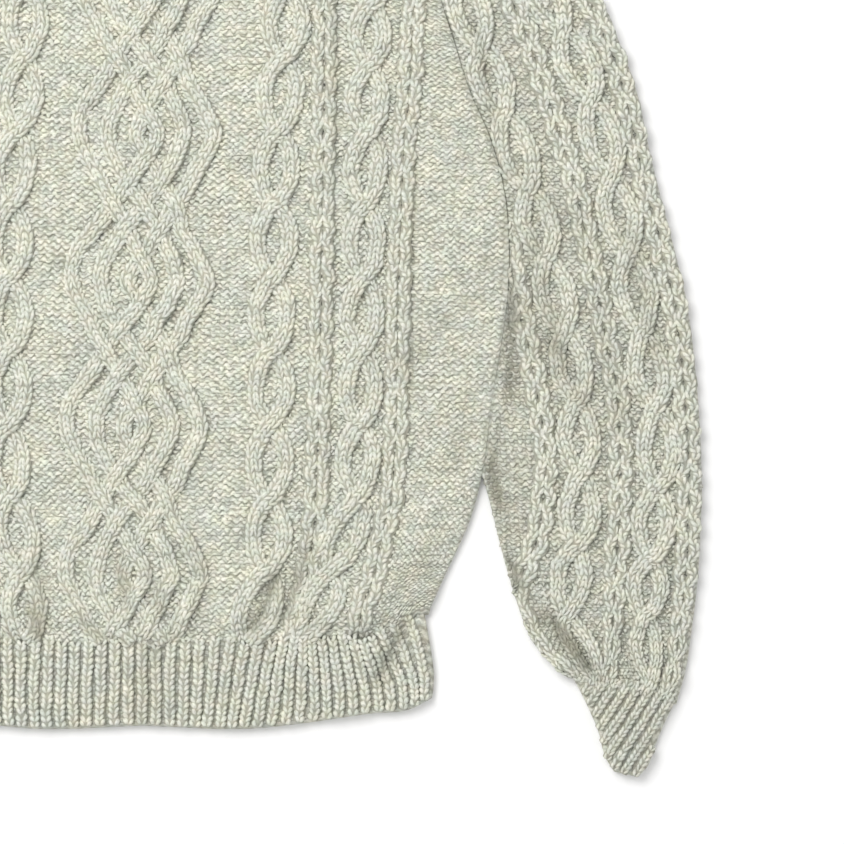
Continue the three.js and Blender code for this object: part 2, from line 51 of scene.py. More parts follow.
cloth = {
    "frontFloor": 5.3, "wall": 4.5, "sleeveTop": 11.4, "rim": 5.5, "lowestTop": 3.8,
    "shellThickness": 2.6, "backRise": 4.9, "underFold": 9,
    "sheetDrop": 0.9,  # how far a sheet lies below the surface that carries its stitches
}
knit = {
    "waleWidth": 6.1, "rowHeight": 4.7, "groundRow": 2.4, "yarnRadius": 1.38, "yarnHeight": 1.15,
    "crossingLift": 1.5, "braidPeriod": 105.8, "ovalHeight": 141.5,
    "hiddenShare": 0.7,  # of a strand's radius, within which it hides the ground
}
knit["ropePeriod"] = knit["braidPeriod"] / 2
knit["beadPeriod"] = knit["braidPeriod"] / 6
strandSize = {
    "braid": {"wales": 2, "wale": 5.7, "radius": 6.6, "height": 3.2},
    "ropes": {"wales": 2, "wale": 6.0, "radius": 6.9, "height": 3.3},
    "beads": {"wales": 1, "wale": 6.9, "radius": 5.1, "height": 2.3, "thick": 1.04},
}

# Outlines and column lines, as the solids have them. Only the cuffs' tips are rounder here.
bodyEdge = {
    "y": [-204.8, -181.8, -158.8, -138.6, -106.2, -52.2, -3.2, 27, 63, 99.7, 135, 170.3, 210.6,
          235.8, 275.4],
    "x": [206.6, 216.7, 227.5, 236.2, 244.8, 252, 259.9, 263.5, 264.2, 260.6, 251.3, 236.2, 223.2,
          215.3, 203.8],
}
ribTop = {
    "x": [0, 78, 135, 166, 180, 196, 206.6],
    "y": [-228.6, -228, -223.5, -224, -219.2, -206, -203.8],
}
ribEnd = {
    "x": [0, 70, 114, 164, 190, 209],
    "y": [-286.9, -289.4, -285.5, -278.3, -276, -267],
}
ribEdge = {
    "y": [-268, -253.8, -239.4, -204],
    "x": [207.4, 209.5, 209, 206],
}
frontColumns = {
    "axis": {"y": [-228.6, -73.8, 35.6, 91.8, 141.3, 323.6], "x": [-5.4, -5.4, -1.4, 1.8, 3.6, 5]},
    "leftRope": {
        "y": [-228.6, -196.2, -174.6, -149.4, -124.9, -95.4, -23.4, 88.2, 117, 144.4, 222, 323.6],
        "x": [-86.4, -85, -87.1, -90.7, -95, -97.2, -95.8, -95, -93.2, -89.3, -84.2, -84],
    },
    "innerRope": {
        "y": [-228.6, -185.4, -129.2, 36.4, 139.3, 235.8, 323.6],
        "x": [73.5, 87.5, 91.1, 94, 97.5, 104.1, 108.5],
    },
    "innerBead": {
        "y": [-228.6, -193.3, -135.7, 91.8, 235.8, 323.6],
        "x": [106, 116, 124.6, 130.3, 131.8, 135],
    },
    "outerRope": {
        "y": [-228.6, -193.3, -171.7, -142.2, -126.4, 99, 235.8, 323.6],
        "x": [113.4, 132.4, 136.1, 149, 154.1, 160.6, 164.2, 166.4],
    },
    "outerBead": {
        "y": [-228.6, -202.7, -185.4, -150.8, -117.7, 76.7, 235.8, 323.6],
        "x": [155, 159, 165.4, 172.6, 180.6, 186.2, 195.4, 198],
    },
}
sleeveRows = {
    "along": [0, 14, 36, 61, 102, 140, 174, 210, 246, 280, 330, 378, 405, 450, 495, 515, 535],
    "innerY": [271.8, 257.4, 235.8, 210.6, 170.3, 135, 99.7, 63, 27, -3.2, -52.2, -106.2, -132.1, -176.8,
               -222.8, -240.1, -252.4],
    "outerX": [236.2, 288.5, 330.5, 344.5, 358.8, 367.2, 376, 385.3, 393.8, 398.9, 403, 405, 404.4,
               402, 397, 393.5, 386.5],
    "outerY": [274, 263.2, 235.8, 208.4, 167.4, 127.8, 91.8, 55.8, 19.8, -16.2, -63, -109.8, -138.6, -181.8,
               -223, -246, -271.8],
}
sleeveInner = {
    "y": [-252.4, -240.1, -222.8, -176.8, -132.1, -106.2],
    "x": [306.7, 292.3, 279.4, 263.5, 252, 245.6],
}
sleeveColumns = {
    "innerBead": {
        "y": [-255, -232.2, -196.2, -181.8, -153, -109.8, -81, -52.2, -9, 19.8, 60, 272],
        "x": [312, 290.2, 270.7, 273.5, 284.5, 290.2, 290, 284.8, 276, 270.7, 262, 190],
    },
    "innerRope": {
        "y": [-261, -243, -207.7, -178.2, -135, -81, -54.4, -5.4, 47.9, 95.4, 150.8, 201.2, 272],
        "x": [330, 322.6, 306, 309, 315, 314.5, 313, 304, 290.5, 278.3, 260, 244, 222],
    },
    "middleBead": {
        "y": [-261, -239.4, -181.8, -109.8, -52.2, -23.4, 5.4, 63, 120.6, 163.8, 197.6, 272],
        "x": [335, 337, 340.9, 344.2, 342.7, 337.7, 331.5, 320.5, 306.7, 292.3, 281.5, 252],
    },
    "outerRope": {
        "y": [-261, -253.8, -207, -164.5, -114.8, -81, -54.4, -0.4, 55.8, 109.1, 165.2, 217.8, 272],
        "x": [366, 365.8, 362, 366, 370.5, 372, 369.4, 360.7, 349, 337.5, 323, 300.2, 268],
    },
}
# How many half turns each of a sleeve's ropes has made at these heights, which aren't even.
sleeveCrossings = {
    "innerRope": {
        "y": [-258, -207.7, -157.3, -106.2, -54.4, -5.4, 47.9, 95.4, 150.1, 201.2, 254, 306],
        "halfTurns": [9, 8, 7, 6, 5, 4, 3, 2, 1, 0, -1, -2],
    },
    "outerRope": {
        "y": [-300, -253.8, -207, -164.5, -114.1, -54.4, -0.4, 55.8, 109.1, 165.2, 213.5, 266],
        "halfTurns": [10, 9, 8, 7, 6, 5, 4, 3, 2, 1, 0, -1],
    },
}
cuffRows = {
    "along": [-0.15, 0, 0.33, 0.66, 0.88, 1],
    "innerX": [306, 311.5, 320.5, 329, 333.4, 340],
    "innerY": [-246, -254.6, -272, -292, -309, -320],
    "outerX": [389, 385.5, 377, 369.5, 364.8, 358],
    "outerY": [-258, -267, -284, -302, -315.5, -324],
}
# The courses of the braid's strands over one repeat, from the middle of an oval downwards: three
# that fall to the right, and three that fall to the left. Over is 1 where a strand that falls to
# the right lies on top.
braidCourses = {
    "phase": [0, 0.06, 0.17, 0.28, 0.4, 0.5, 0.66, 0.75, 0.85, 0.94],
    "rightFromLeft": [-48.8, -48.2, -43.4, -36.4, -30, -22.6, -12.2, -6.8, -0.8, 4.8],
    "rightFromMiddle": [-27.8, -27.4, -24.4, -18.2, -8.6, 0, 12, 16.2, 21.6, 25.2],
    "rightFromCentre": [-7.4, -6.8, -0.6, 7.4, 16, 22.3, 28.8, 35, 41, 45.6],
    "leftFromRight": [47.4, 46.8, 41.4, 35, 29.4, 22.2, 12.2, 6.6, 0.8, -5.2],
    "leftFromMiddle": [26.4, 25.4, 20.6, 14.4, 8, 0, -12.2, -17.6, -22.8, -26.6],
    "leftFromCentre": [7.0, 6.4, 0.6, -7.4, -16, -22.3, -32.4, -39.6, -46.8, -49],
}
braidOver = {
    "phase": [0, 0.07, 0.15, 0.34, 0.5, 0.66, 0.85, 0.93, 1],
    "over": [0, -0.1, -1, -1, 1, -1, 1, 0.1, 0],
}
armpitHeight = 27
sleeveLeavesBody = -106.2
sleeveGap = 0.3
sleeveTrim = 1.6
neck = {"halfWidth": 90, "frontDrop": 75, "backDrop": 22, "slope": 0.424}

# The share of the height that is left at each edge, and the width over which it rises to the
# whole: in millimetres on the body and sleeves, in shares of the piece on the ribs.
edges = {
    "armhole": (0.85, 5),
    "onSleeve": (0.8, 7),
    "bodyFold": (0.12, 17),
    "bodyHem": (0.7, 14),
    "shoulder": (0.7, 12),
    "sleeveSeam": (0.2, 15),
    "underBody": (-0.35, 16),
    "sleeveFold": (0, 17),
    "sleeveEnd": (0.7, 16),
    "sleeveHead": (0.6, 12),
    "hemEdge": (0.55, 0.09),
    "hemSide": (0.4, 1),
    "cuffEdge": (0.72, 0.14),
    "bandEdge": (0.75, 0.15),
}


# Reads a table's column at many places: a cubic through each two rows, whose slope at a row is
# the rise between its neighbours over their distance.
def readTable(table, along, column, places):
    knots = np.array(table[along], float)
    values = np.array(table[column], float)
    before = np.maximum(np.arange(len(knots)) - 1, 0)
    after = np.minimum(np.arange(len(knots)) + 1, len(knots) - 1)
    slopes = (values[after] - values[before]) / (knots[after] - knots[before])
    places = np.clip(places, knots[0], knots[-1])
    high = np.clip(np.searchsorted(knots, places, side="right"), 1, len(knots) - 1)
    low = high - 1
    step = knots[high] - knots[low]
    t = (places - knots[low]) / step
    stay = 1 - t
    return (
        values[low] * stay * stay * (1 + 2 * t)
        + values[high] * t * t * (3 - 2 * t)
        + slopes[low] * step * t * stay * stay
        - slopes[high] * step * t * t * stay
    )


# Rises from 0 to 1 over a width from a folded edge, as a quarter of an ellipse does.
def foldRise(distance, width):
    inside = np.clip(distance / width, 0, 1)
    return np.sqrt(1 - (1 - inside) ** 2)


# Rises from 0 to 1 between two places, with no slope at either.
def smoothStep(low, high, value):
    t = np.clip((value - low) / (high - low), 0, 1)
    return t * t * (3 - 2 * t)


# The share of the height at a distance from an edge: what is left at the edge, and the rest of
# it times the rise of a fold.
def rounded(edge, distance):
    left, width = edges[edge]
    return left + (1 - left) * foldRise(distance, width)


# The two arrays of a grid, from the values down its rows and those along its columns.
def spread(down, along):
    return np.meshgrid(down, along, indexing="ij")


# The height of soft ridges and troughs along lines: each one's height times a bell of the
# distance from its line, fading over the line's ends.
def creaseHeight(creases, x, y):
    total = np.zeros(np.broadcast(x, y).shape)
    for startX, startY, endX, endY, height, width in creases:
        length = math.hypot(endX - startX, endY - startY)
        along = ((x - startX) * (endX - startX) + (y - startY) * (endY - startY)) / length
        across = ((x - startX) * (endY - startY) - (y - startY) * (endX - startX)) / length
        outside = np.maximum(np.maximum(-along, along - length), 0)
        total = total + height * np.exp(-((across / width) ** 2) - (outside / (2 * width)) ** 2)
    return total


# Each crease is the x and y of its start, those of its end, its height and its width. Where a crease sinks
# the cloth, its stitches also get painted shade.
frontCreases = [
    (236, -60, 206, -176, -1.6, 9), (225, -118, 150, -205, 1.8, 10),
    (206, -150, 176, -206, -1.5, 6), (248, 40, 200, -20, -1.2, 14),
    (-236, -60, -204, -180, -1.6, 10), (-215, -112, -146, -200, 1.7, 11),
    (-250, 60, -196, -6, -1.3, 15), (40, -150, 52, -215, -1.2, 12),
    (-60, 180, -40, 60, 0.8, 22), (-16, -176, -12, -194, -2.4, 6),
    (8, -182, 14, -200, -2.0, 6), (94, -184, 82, -212, -3.2, 6),
    (118, -164, 104, -202, -2.6, 6), (-74, -176, -70, -204, -2.0, 7),
    (128, -214, 150, -226, -1.6, 7), (160, -224, 188, -214, -2.2, 6),
    (52, -120, 66, -205, 1.3, 11), (139.5, 300, 139.5, 110, -1.8, 3),
    (139, 100, 134, -120, -1.1, 3), (197, 150, 193, -90, -1.3, 3),
    (-80, -206, -74, -222, -2.4, 6), (-40, -214, -26, -226, -1.8, 6),
]
sleeveCreases = [
    (262, -150, 330, -232, 1.9, 10), (266, -176, 318, -244, -1.7, 7),
    (268, 20, 318, -52, -1.4, 13), (392, -120, 356, -214, 1.2, 12),
    (256, 120, 318, 64, -1.0, 14), (254, -112, 266, -170, -3.0, 9),
    (264, 6, 267, -42, -3.4, 6), (265, 60, 264, 10, -1.6, 4),
    (264, -44, 251, -104, -2.0, 5), (240, 215, 254, 150, -1.6, 5),
    (300, -215, 322, -240, -2.2, 7), (345, -225, 352, -250, -1.8, 7),
    (352, 60, 372, -20, -1.6, 8), (330, 20, 346, -70, -1.3, 7),
    (282, 60, 300, -10, -1.6, 8),
]
# The painted shade in creases: the share of the crest taken per millimetre of depth, and the least share
# that is left.
creasePaintedShade = {"perMillimetre": 0.3, "least": 0.1}
clothWave = {"long": 58, "longHeight": 0.62, "short": 26, "shortHeight": 0.36}
handWaves = ((1, 1, 0.4), (0.61, 0.7, 1.9), (0.37, 0.5, 2.9))  # length, weight and direction


# The unevenness of hand knitting: three sine waves that run over the cloth in different
# directions, each shorter and weaker than the one before.
def unevenness(x, y, size, seed):
    total = 0
    for number, (length, weight, turn) in enumerate(handWaves):
        along = x * math.cos(turn + seed) + y * math.sin(turn + seed)
        phase = seed * (number + 1.7)
        total = total + weight * np.sin(2 * math.pi * along / (size * length) + phase)
    return total


# How far a row v is bent at x: down to the shoulders near the top, and up to the rib's corners
# near the hem.
def rowBend(x, v):
    lowest = ribTop["y"][0]
    slopeFrom = 90
    hemLiftFrom = -170
    nearTop = np.clip((v - slopeFrom) / (sideNeckHeight - slopeFrom), 0, 1) ** 2
    nearHem = np.clip((hemLiftFrom - v) / (hemLiftFrom - lowest), 0, 1)
    drop = neck["slope"] * np.maximum(0, np.abs(x) - neck["halfWidth"])
    return (readTable(ribTop, "x", "y", np.abs(x)) - lowest) * nearHem - drop * nearTop


# The body's half width on a bent row v, read at the height where the end of the row comes to lie.
def frontEdge(v):
    edge = readTable(bodyEdge, "y", "x", v)
    for _ in range(8):
        edge = readTable(bodyEdge, "y", "x", v + rowBend(edge, v))
    return edge


# The soft waves of a knitted cloth that was laid down by hand: a long and a short unevenness.
def clothWaves(x, y):
    long = clothWave["longHeight"] * unevenness(x, y, clothWave["long"], 2)
    return long + clothWave["shortHeight"] * unevenness(x, y, clothWave["short"], 5)


# The front's outer surface at x and a bent row v: its height times the share that each edge
# leaves, with creases and waves. It rounds away little at the armhole and on the sleeve, and
# right down below that, and the cloth bulges just above the hem rib.
def frontPoint(x, v):
    lowest = ribTop["y"][0]
    y = v + rowBend(x, v)
    distance = frontEdge(v) - np.abs(x)
    seam, beside = rounded("armhole", distance), rounded("onSleeve", distance)
    free = smoothStep(-15, 15, sleeveLeavesBody - v)
    under = smoothStep(-20, 20, armpitHeight - v)
    side = seam + (beside + (rounded("bodyFold", distance) - beside) * free - seam) * under
    blouse = 1 + (0.75 + 0.2 * np.sin(x / 23)) * np.exp(-(((v - lowest - 22) / 19) ** 2))
    ends = np.minimum(rounded("bodyHem", v - lowest), rounded("shoulder", sideNeckHeight - v))
    relief = creaseHeight(frontCreases, x, y) + clothWaves(x, y)
    height = (cloth["wall"] * blouse + relief) * side * ends
    return np.stack([x + 0 * y, y, cloth["frontFloor"] + height], -1)


# The x of a sleeve's inner edge at a height: beside the body, and free below that.
def sleeveInnerEdge(y):
    beside = readTable(bodyEdge, "y", "x", y) + sleeveGap
    return np.where(y > sleeveLeavesBody, beside, readTable(sleeveInner, "y", "x", y))


# The two ends of a row across a sleeve.
def sleeveRow(along):
    names = ("innerY", "outerX", "outerY")
    innerY, outerX, outerY = (readTable(sleeveRows, "along", name, along) for name in names)
    return sleeveInnerEdge(innerY), innerY, outerX - sleeveTrim, outerY


# A sleeve's outer surface at x on the row at a length along it: low beside the body's edge,
# rounded at its two folds and drawn in at its head and at the cuff, but never below its lowest
# top.
def sleevePoint(x, along):
    innerX, innerY, outerX, outerY = sleeveRow(along)
    y = innerY + (outerY - innerY) * (x - innerX) / (outerX - innerX)
    distance = x - innerX
    seam, beside = rounded("sleeveSeam", distance), rounded("underBody", distance)
    loose = smoothStep(-15, 15, sleeveLeavesBody - y)
    under = smoothStep(-20, 20, armpitHeight - y)
    inner = seam + (beside + (rounded("sleeveFold", distance) - beside) * loose - seam) * under
    share = np.minimum(inner, rounded("sleeveFold", outerX - x))
    ends = rounded("sleeveEnd", sleeveRows["along"][-1] - along) * rounded("sleeveHead", along)
    relief = creaseHeight(sleeveCreases, x, y) + clothWaves(x + 37, y)
    top = cloth["rim"] + (cloth["sleeveTop"] - cloth["rim"] + relief) * share
    return np.stack([x + 0 * y, y, np.maximum(top * ends, cloth["lowestTop"])], -1)


# Turns millimetres into metres in the frame, and mirrors a left piece.
def placed(points, side=1):
    out = points * millimetre
    out[..., 0] *= side
    out[..., 1] += frameShift
    return out


# Adds an object for a mesh, a light or a camera, and gives it back.
def addObject(name, data):
    made = bpy.data.objects.new(name, data)
    bpy.context.scene.collection.objects.link(made)
    return made


# A bundle of yarn or cloth as flat arrays: its points, its four-sided faces, its crest, which is
# 1 on top of the yarn and 0 in the crevices, and its UV map along and across the yarn.
# The crest sets the painted shade in the wool's colour: darker down in the crevices.
def bundle(points, quads, crest, uv):
    shapes = {"points": (-1, 3), "quads": (-1, 4), "crest": -1, "uv": (-1, 2)}
    values = (points, quads, crest, uv)
    return {key: value.reshape(shapes[key]) for key, value in zip(shapes, values)}


# Joins several bundles into one, with each one's faces counted on from the points before it.
def joinParts(parts):
    counts = np.cumsum([0] + [len(part["points"]) for part in parts])
    joined = {key: np.concatenate([part[key] for part in parts]) for key in ("points", "crest", "uv")}
    joined["quads"] = np.concatenate([part["quads"] + start for part, start in zip(parts, counts)])
    return joined


# Makes a mesh object of a bundle, mirrored for a left piece, which rides on the root and takes one of the
# materials by its name.
def makeMesh(name, parts, material, side):
    faces = parts["quads"][:, ::-1] if side < 0 else parts["quads"]
    mesh = bpy.data.meshes.new(name)
    mesh.vertices.add(len(parts["points"]))
    mesh.vertices.foreach_set("co", placed(parts["points"], side).astype(np.float32).ravel())
    mesh.loops.add(faces.size)
    mesh.loops.foreach_set("vertex_index", faces.astype(np.int32).ravel())
    mesh.polygons.add(len(faces))
    mesh.polygons.foreach_set("loop_start", np.arange(0, faces.size, 4, dtype=np.int32))
    mesh.polygons.foreach_set("use_smooth", np.ones(len(faces), bool))
    crest = mesh.attributes.new("crest", "FLOAT", "POINT")
    crest.data.foreach_set("value", parts["crest"].astype(np.float32))
    layer = mesh.uv_layers.new(name="yarn")
    layer.data.foreach_set("uv", parts["uv"][faces.ravel()].astype(np.float32).ravel())
    mesh.update()
    mesh.validate()
    mesh.materials.append(materials[material])
    piece = addObject(name, mesh)
    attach(piece, "root")
    return piece


# The faces of a grid of points, row by row.
def gridQuads(rows, columns):
    corner = (np.arange(rows - 1)[:, None] * columns + np.arange(columns - 1)[None, :]).ravel()
    return np.stack([corner, corner + 1, corner + columns + 1, corner + columns], -1)


# One short length of yarn: rings along it and points over its top, from side to side. Across is
# the cosine of the turn and up is its sine; both shrink towards the ends, which sink into the
# cloth.
def yarnTemplate(rings, spans, bluntness):
    t = np.linspace(0, 1, rings)[:, None]
    turn = np.linspace(-0.1 * math.pi, 1.1 * math.pi, spans + 1)[None, :]
    arch = np.sin(math.pi * t) ** bluntness
    swell = 0.5 + 0.5 * arch
    across = -np.cos(turn) * swell
    up = np.sin(turn) * swell - 0.9 * (1 - arch)
    # The crest, which sets the painted shade, is lower at the sides and at the sunk ends.
    crest = np.clip(np.sin(turn), 0, 1) * (0.3 + 0.7 * arch)
    return {
        "t": np.broadcast_to(t, across.shape).ravel(),
        "across": across.ravel(),
        "up": up.ravel(),
        "crest": crest.ravel(),
        "turn": np.broadcast_to(turn / math.pi, across.shape).ravel(),
        "quads": gridQuads(rings, spans + 1),
    }


legShape = yarnTemplate(5, 3, 0.6)
arcShape = yarnTemplate(4, 2, 0.7)
# A leg starts and ends at these shares of the column's width and of the row's height; a stitch's
# place, side, radius and height vary by the spreads.
leg = {
    "inner": 0.07, "outer": 0.46, "foot": -0.7, "reach": 1.36, "curve": 0.85, "curl": 0.36,
    "rowSpread": 0.3, "stitchSpread": 0.22, "sideSpread": 0.3, "radiusSpread": 0.13,
    "heightSpread": 0.16,
}
# The core's crest is low, so that it is painted in shade where it shows between the legs.
core = {"sides": 7, "step": 4, "inside": 0.95, "drop": 0.2, "crest": 0.12}
# Radius, span and arch are shares of the row's step and the column's width.
purl = {
    "radius": 0.7, "span": 0.37, "arch": 0.46, "height": 1.25, "raise": 0.1,
    "radiusSpread": 0.16, "spanSpread": 0.14, "heightSpread": 0.2, "rowSpread": 0.27,
    "columnSpread": 0.42, "tiltSpread": 0.34,
}


# The middle, sideways and outward directions of a line on a surface, from small steps along it
# and across it.
def lineFrame(surface, a, b):
    small = 0.5
    centre = surface(a, b)
    tangent = np.gradient(centre, axis=0)
    tangent /= np.linalg.norm(tangent, axis=-1, keepdims=True)
    acrossStep = surface(a + small, b) - surface(a - small, b)
    outward = np.cross(acrossStep, tangent)
    outward /= np.linalg.norm(outward, axis=-1, keepdims=True)
    return centre, np.cross(tangent, outward), outward


# Knit stitches in columns on a rounded strand that follows a line on a surface. Each stitch has
# two legs that lean out from the column's middle; the strand's height is a half ellipse of the
# distance from its middle, and the legs stand off at right angles to that.
def knitStrand(surface, a, b, lift, size, seed, keep=None, narrow=1.0):
    wale, wales, radius, height = size["wale"], size["wales"], size["radius"], size["height"]
    row = size.get("row", knit["rowHeight"])
    thick = size.get("thick", wale / knit["waleWidth"])
    narrow = narrow + np.zeros(len(a))
    rng = np.random.default_rng(seed)
    centre, sideways, outward = lineFrame(surface, a, b)
    steps = np.linalg.norm(np.diff(centre, axis=0), axis=-1)
    length = np.concatenate([[0], np.cumsum(steps)])
    count = max(2, int(length[-1] / row))
    spot = (np.arange(count) + 0.5) * length[-1] / count
    column = (np.arange(wales) - (wales - 1) / 2) * wale
    stitch, place, hand = np.meshgrid(spot, column, [-1.0, 1.0], indexing="ij")
    rowShift = rng.normal(0, leg["rowSpread"], count)[:, None, None]
    stitch = stitch + rowShift + rng.normal(0, leg["stitchSpread"], stitch.shape)
    stitch, place, hand = (values.reshape(-1, 1) for values in (stitch, place, hand))
    t, turned = legShape["t"], legShape["across"]
    jitter = rng.normal(0, 1, (len(stitch), 4, 1))
    yarn = knit["yarnRadius"] * thick * (1 + leg["radiusSpread"] * jitter[:, 1])
    along = stitch + row * (leg["foot"] + leg["reach"] * t) - hand * turned * yarn * leg["curl"]
    squeeze = np.interp(along, length, narrow)
    out = wale * (leg["inner"] + (leg["outer"] - leg["inner"]) * t ** leg["curve"])
    across = place + hand * out + jitter[:, 0] * leg["sideSpread"] * thick + turned * yarn
    across = across * squeeze
    stand = legShape["up"] * knit["yarnHeight"] * thick * (1 + leg["heightSpread"] * jitter[:, 3])
    bound = np.clip(across / (radius * squeeze), -0.96, 0.96)
    rise = np.sqrt(1 - bound**2)
    slope = -height * bound / (radius * squeeze * rise)
    tilt = np.sqrt(1 + slope**2)
    sidePart = across - stand * slope / tilt
    upPart = height * rise + stand / tilt + np.interp(along, length, lift)

    def read(values):
        return np.stack([np.interp(along, length, values[:, k]) for k in range(3)], -1)

    points = read(centre) + read(sideways) * sidePart[..., None] + read(outward) * upPart[..., None]
    crest = np.broadcast_to(legShape["crest"], across.shape)
    uv = np.stack([along / row + jitter[:, 0] * 5, legShape["turn"] + 0 * along], -1)
    quads = legShape["quads"] + (np.arange(len(stitch)) * len(t))[:, None, None]
    if keep is not None:
        middle = points.mean(1)
        quads = quads[keep(middle[:, 0], middle[:, 1])]
    filling = strandCore(centre, sideways, outward, lift, length, radius * narrow, height, keep)
    return [bundle(points, quads, crest, uv), filling]


# The filling under a strand's stitches: a half tube a little inside them, painted in shade by its low
# crest.
def strandCore(centre, sideways, outward, lift, length, radius, height, keep):
    turn = np.linspace(0, math.pi, core["sides"])
    values = (centre, sideways, outward, lift, length, radius)
    centre, sideways, outward, lift, length, radius = (each[:: core["step"], None] for each in values)
    across = -np.cos(turn) * radius * core["inside"]
    up = np.sin(turn) * height - core["drop"] + lift
    points = centre + sideways * across[..., None] + outward * up[..., None]
    quads = gridQuads(len(centre), turn.size)
    if keep is not None:
        wanted = keep(points[..., 0].ravel(), points[..., 1].ravel())
        quads = quads[wanted[quads].all(1)]
    along = length / knit["rowHeight"] + 0 * turn
    uv = np.stack([along, turn / math.pi + 0 * along], -1)
    return bundle(points, quads, np.full(across.shape, core["crest"]), uv)


# Purl bumps on the ground: each is a short arc of yarn that lies across the columns, on a
# surface at a and b. Its middle is arched up the fabric by a bend of 1, and down by one of -1.
def purlArcs(surface, a, b, width, rowStep, bend, seed):
    count = len(a)
    jitter = np.random.default_rng(seed).normal(0, 1, (count, 6, 1))
    width, bend = np.reshape(width, (-1, 1)), np.reshape(bend, (-1, 1))
    t = arcShape["t"] * 2 - 1
    radius = purl["radius"] * rowStep * (1 + purl["radiusSpread"] * jitter[:, 0])
    span = purl["span"] * width * (1 + purl["spanSpread"] * jitter[:, 5])
    arch = bend * purl["arch"] * rowStep * (0.2 - t * t)
    shift = purl["rowSpread"] * jitter[:, 1] + purl["tiltSpread"] * t * jitter[:, 4]
    alongColumn = arch + arcShape["across"] * radius + shift
    acrossColumn = t * span + jitter[:, 2] * purl["columnSpread"]
    base = surface((a[:, None] + acrossColumn).ravel(), (b[:, None] + alongColumn).ravel())
    points = base.reshape(count, -1, 3).copy()
    height = purl["height"] * (1 + purl["heightSpread"] * jitter[:, 3])
    points[..., 2] += arcShape["up"] * height + purl["raise"]
    # The crest, which sets the painted shade, differs a little from bump to bump.
    crest = arcShape["crest"] * np.clip(0.92 + 0.2 * jitter[:, 4], 0.4, 1.2)
    along = t * 0.7 + jitter[:, 0] * 5
    uv = np.stack([along, arcShape["turn"] + 0 * along], -1)
    quads = arcShape["quads"][:, ::-1] + (np.arange(count) * len(t))[:, None, None]
    return bundle(points, quads, crest, uv)


wool = {
    "finish": {
        "Roughness": 0.95, "Specular IOR Level": 0.1, "Sheen Weight": 0.12, "Sheen Roughness": 0.6,
    },
    "flecks": (
        (0.28, (0.635, 0.65, 0.58)),
        (0.40, (0.72, 0.737, 0.655)),
        (0.50, (0.768, 0.785, 0.693)),
        (0.60, (0.80, 0.813, 0.722)),
        (0.72, (0.795, 0.785, 0.692)),
    ),
    "casts": (  # the size of a slow drift in the tint, and its colours
        (30.0, ((0.965, 0.968, 0.975), (0.985, 0.985, 0.98), (1.01, 1.005, 0.99))),
        (75.0, ((0.945, 0.96, 0.98), (0.985, 0.985, 0.978), (1.02, 1.0, 0.962))),
        (140.0, ((0.945, 0.968, 0.94), (0.985, 0.985, 0.98), (1.025, 0.997, 1.01))),
    ),
    "castPlaces": (0.36, 0.5, 0.64),
    "fibre": {"From Min": 0.3, "From Max": 0.7, "To Min": 0.78, "To Max": 1.14},
    "rowShade": {"From Min": 0.34, "From Max": 0.66, "To Min": 0.885, "To Max": 1.08},
    "fibreScale": (1.8, 7.0, 1.0),
    "rowScale": (65.0, 390.0, 65.0),
    "heatherScale": 420.0,
    # The tints of the painted shade, at the bottom of the crevices and halfway up.
    "darkTint": (1, 0.97, 0.9),
    "halfTint": (1, 0.99, 0.96),
    "bump": 0.5,
    "bumpDepth": {"yarn": 0.0005, "purl": 0.0012},
}


# Adds a shader node: a name of one of its sockets sets that socket, any other its own setting.
def addNode(tree, kind, **values):
    node = tree.nodes.new(kind)
    for key, value in values.items():
        if key in node.inputs:
            node.inputs[key].default_value = value
        else:
            setattr(node, key, value)
    return node
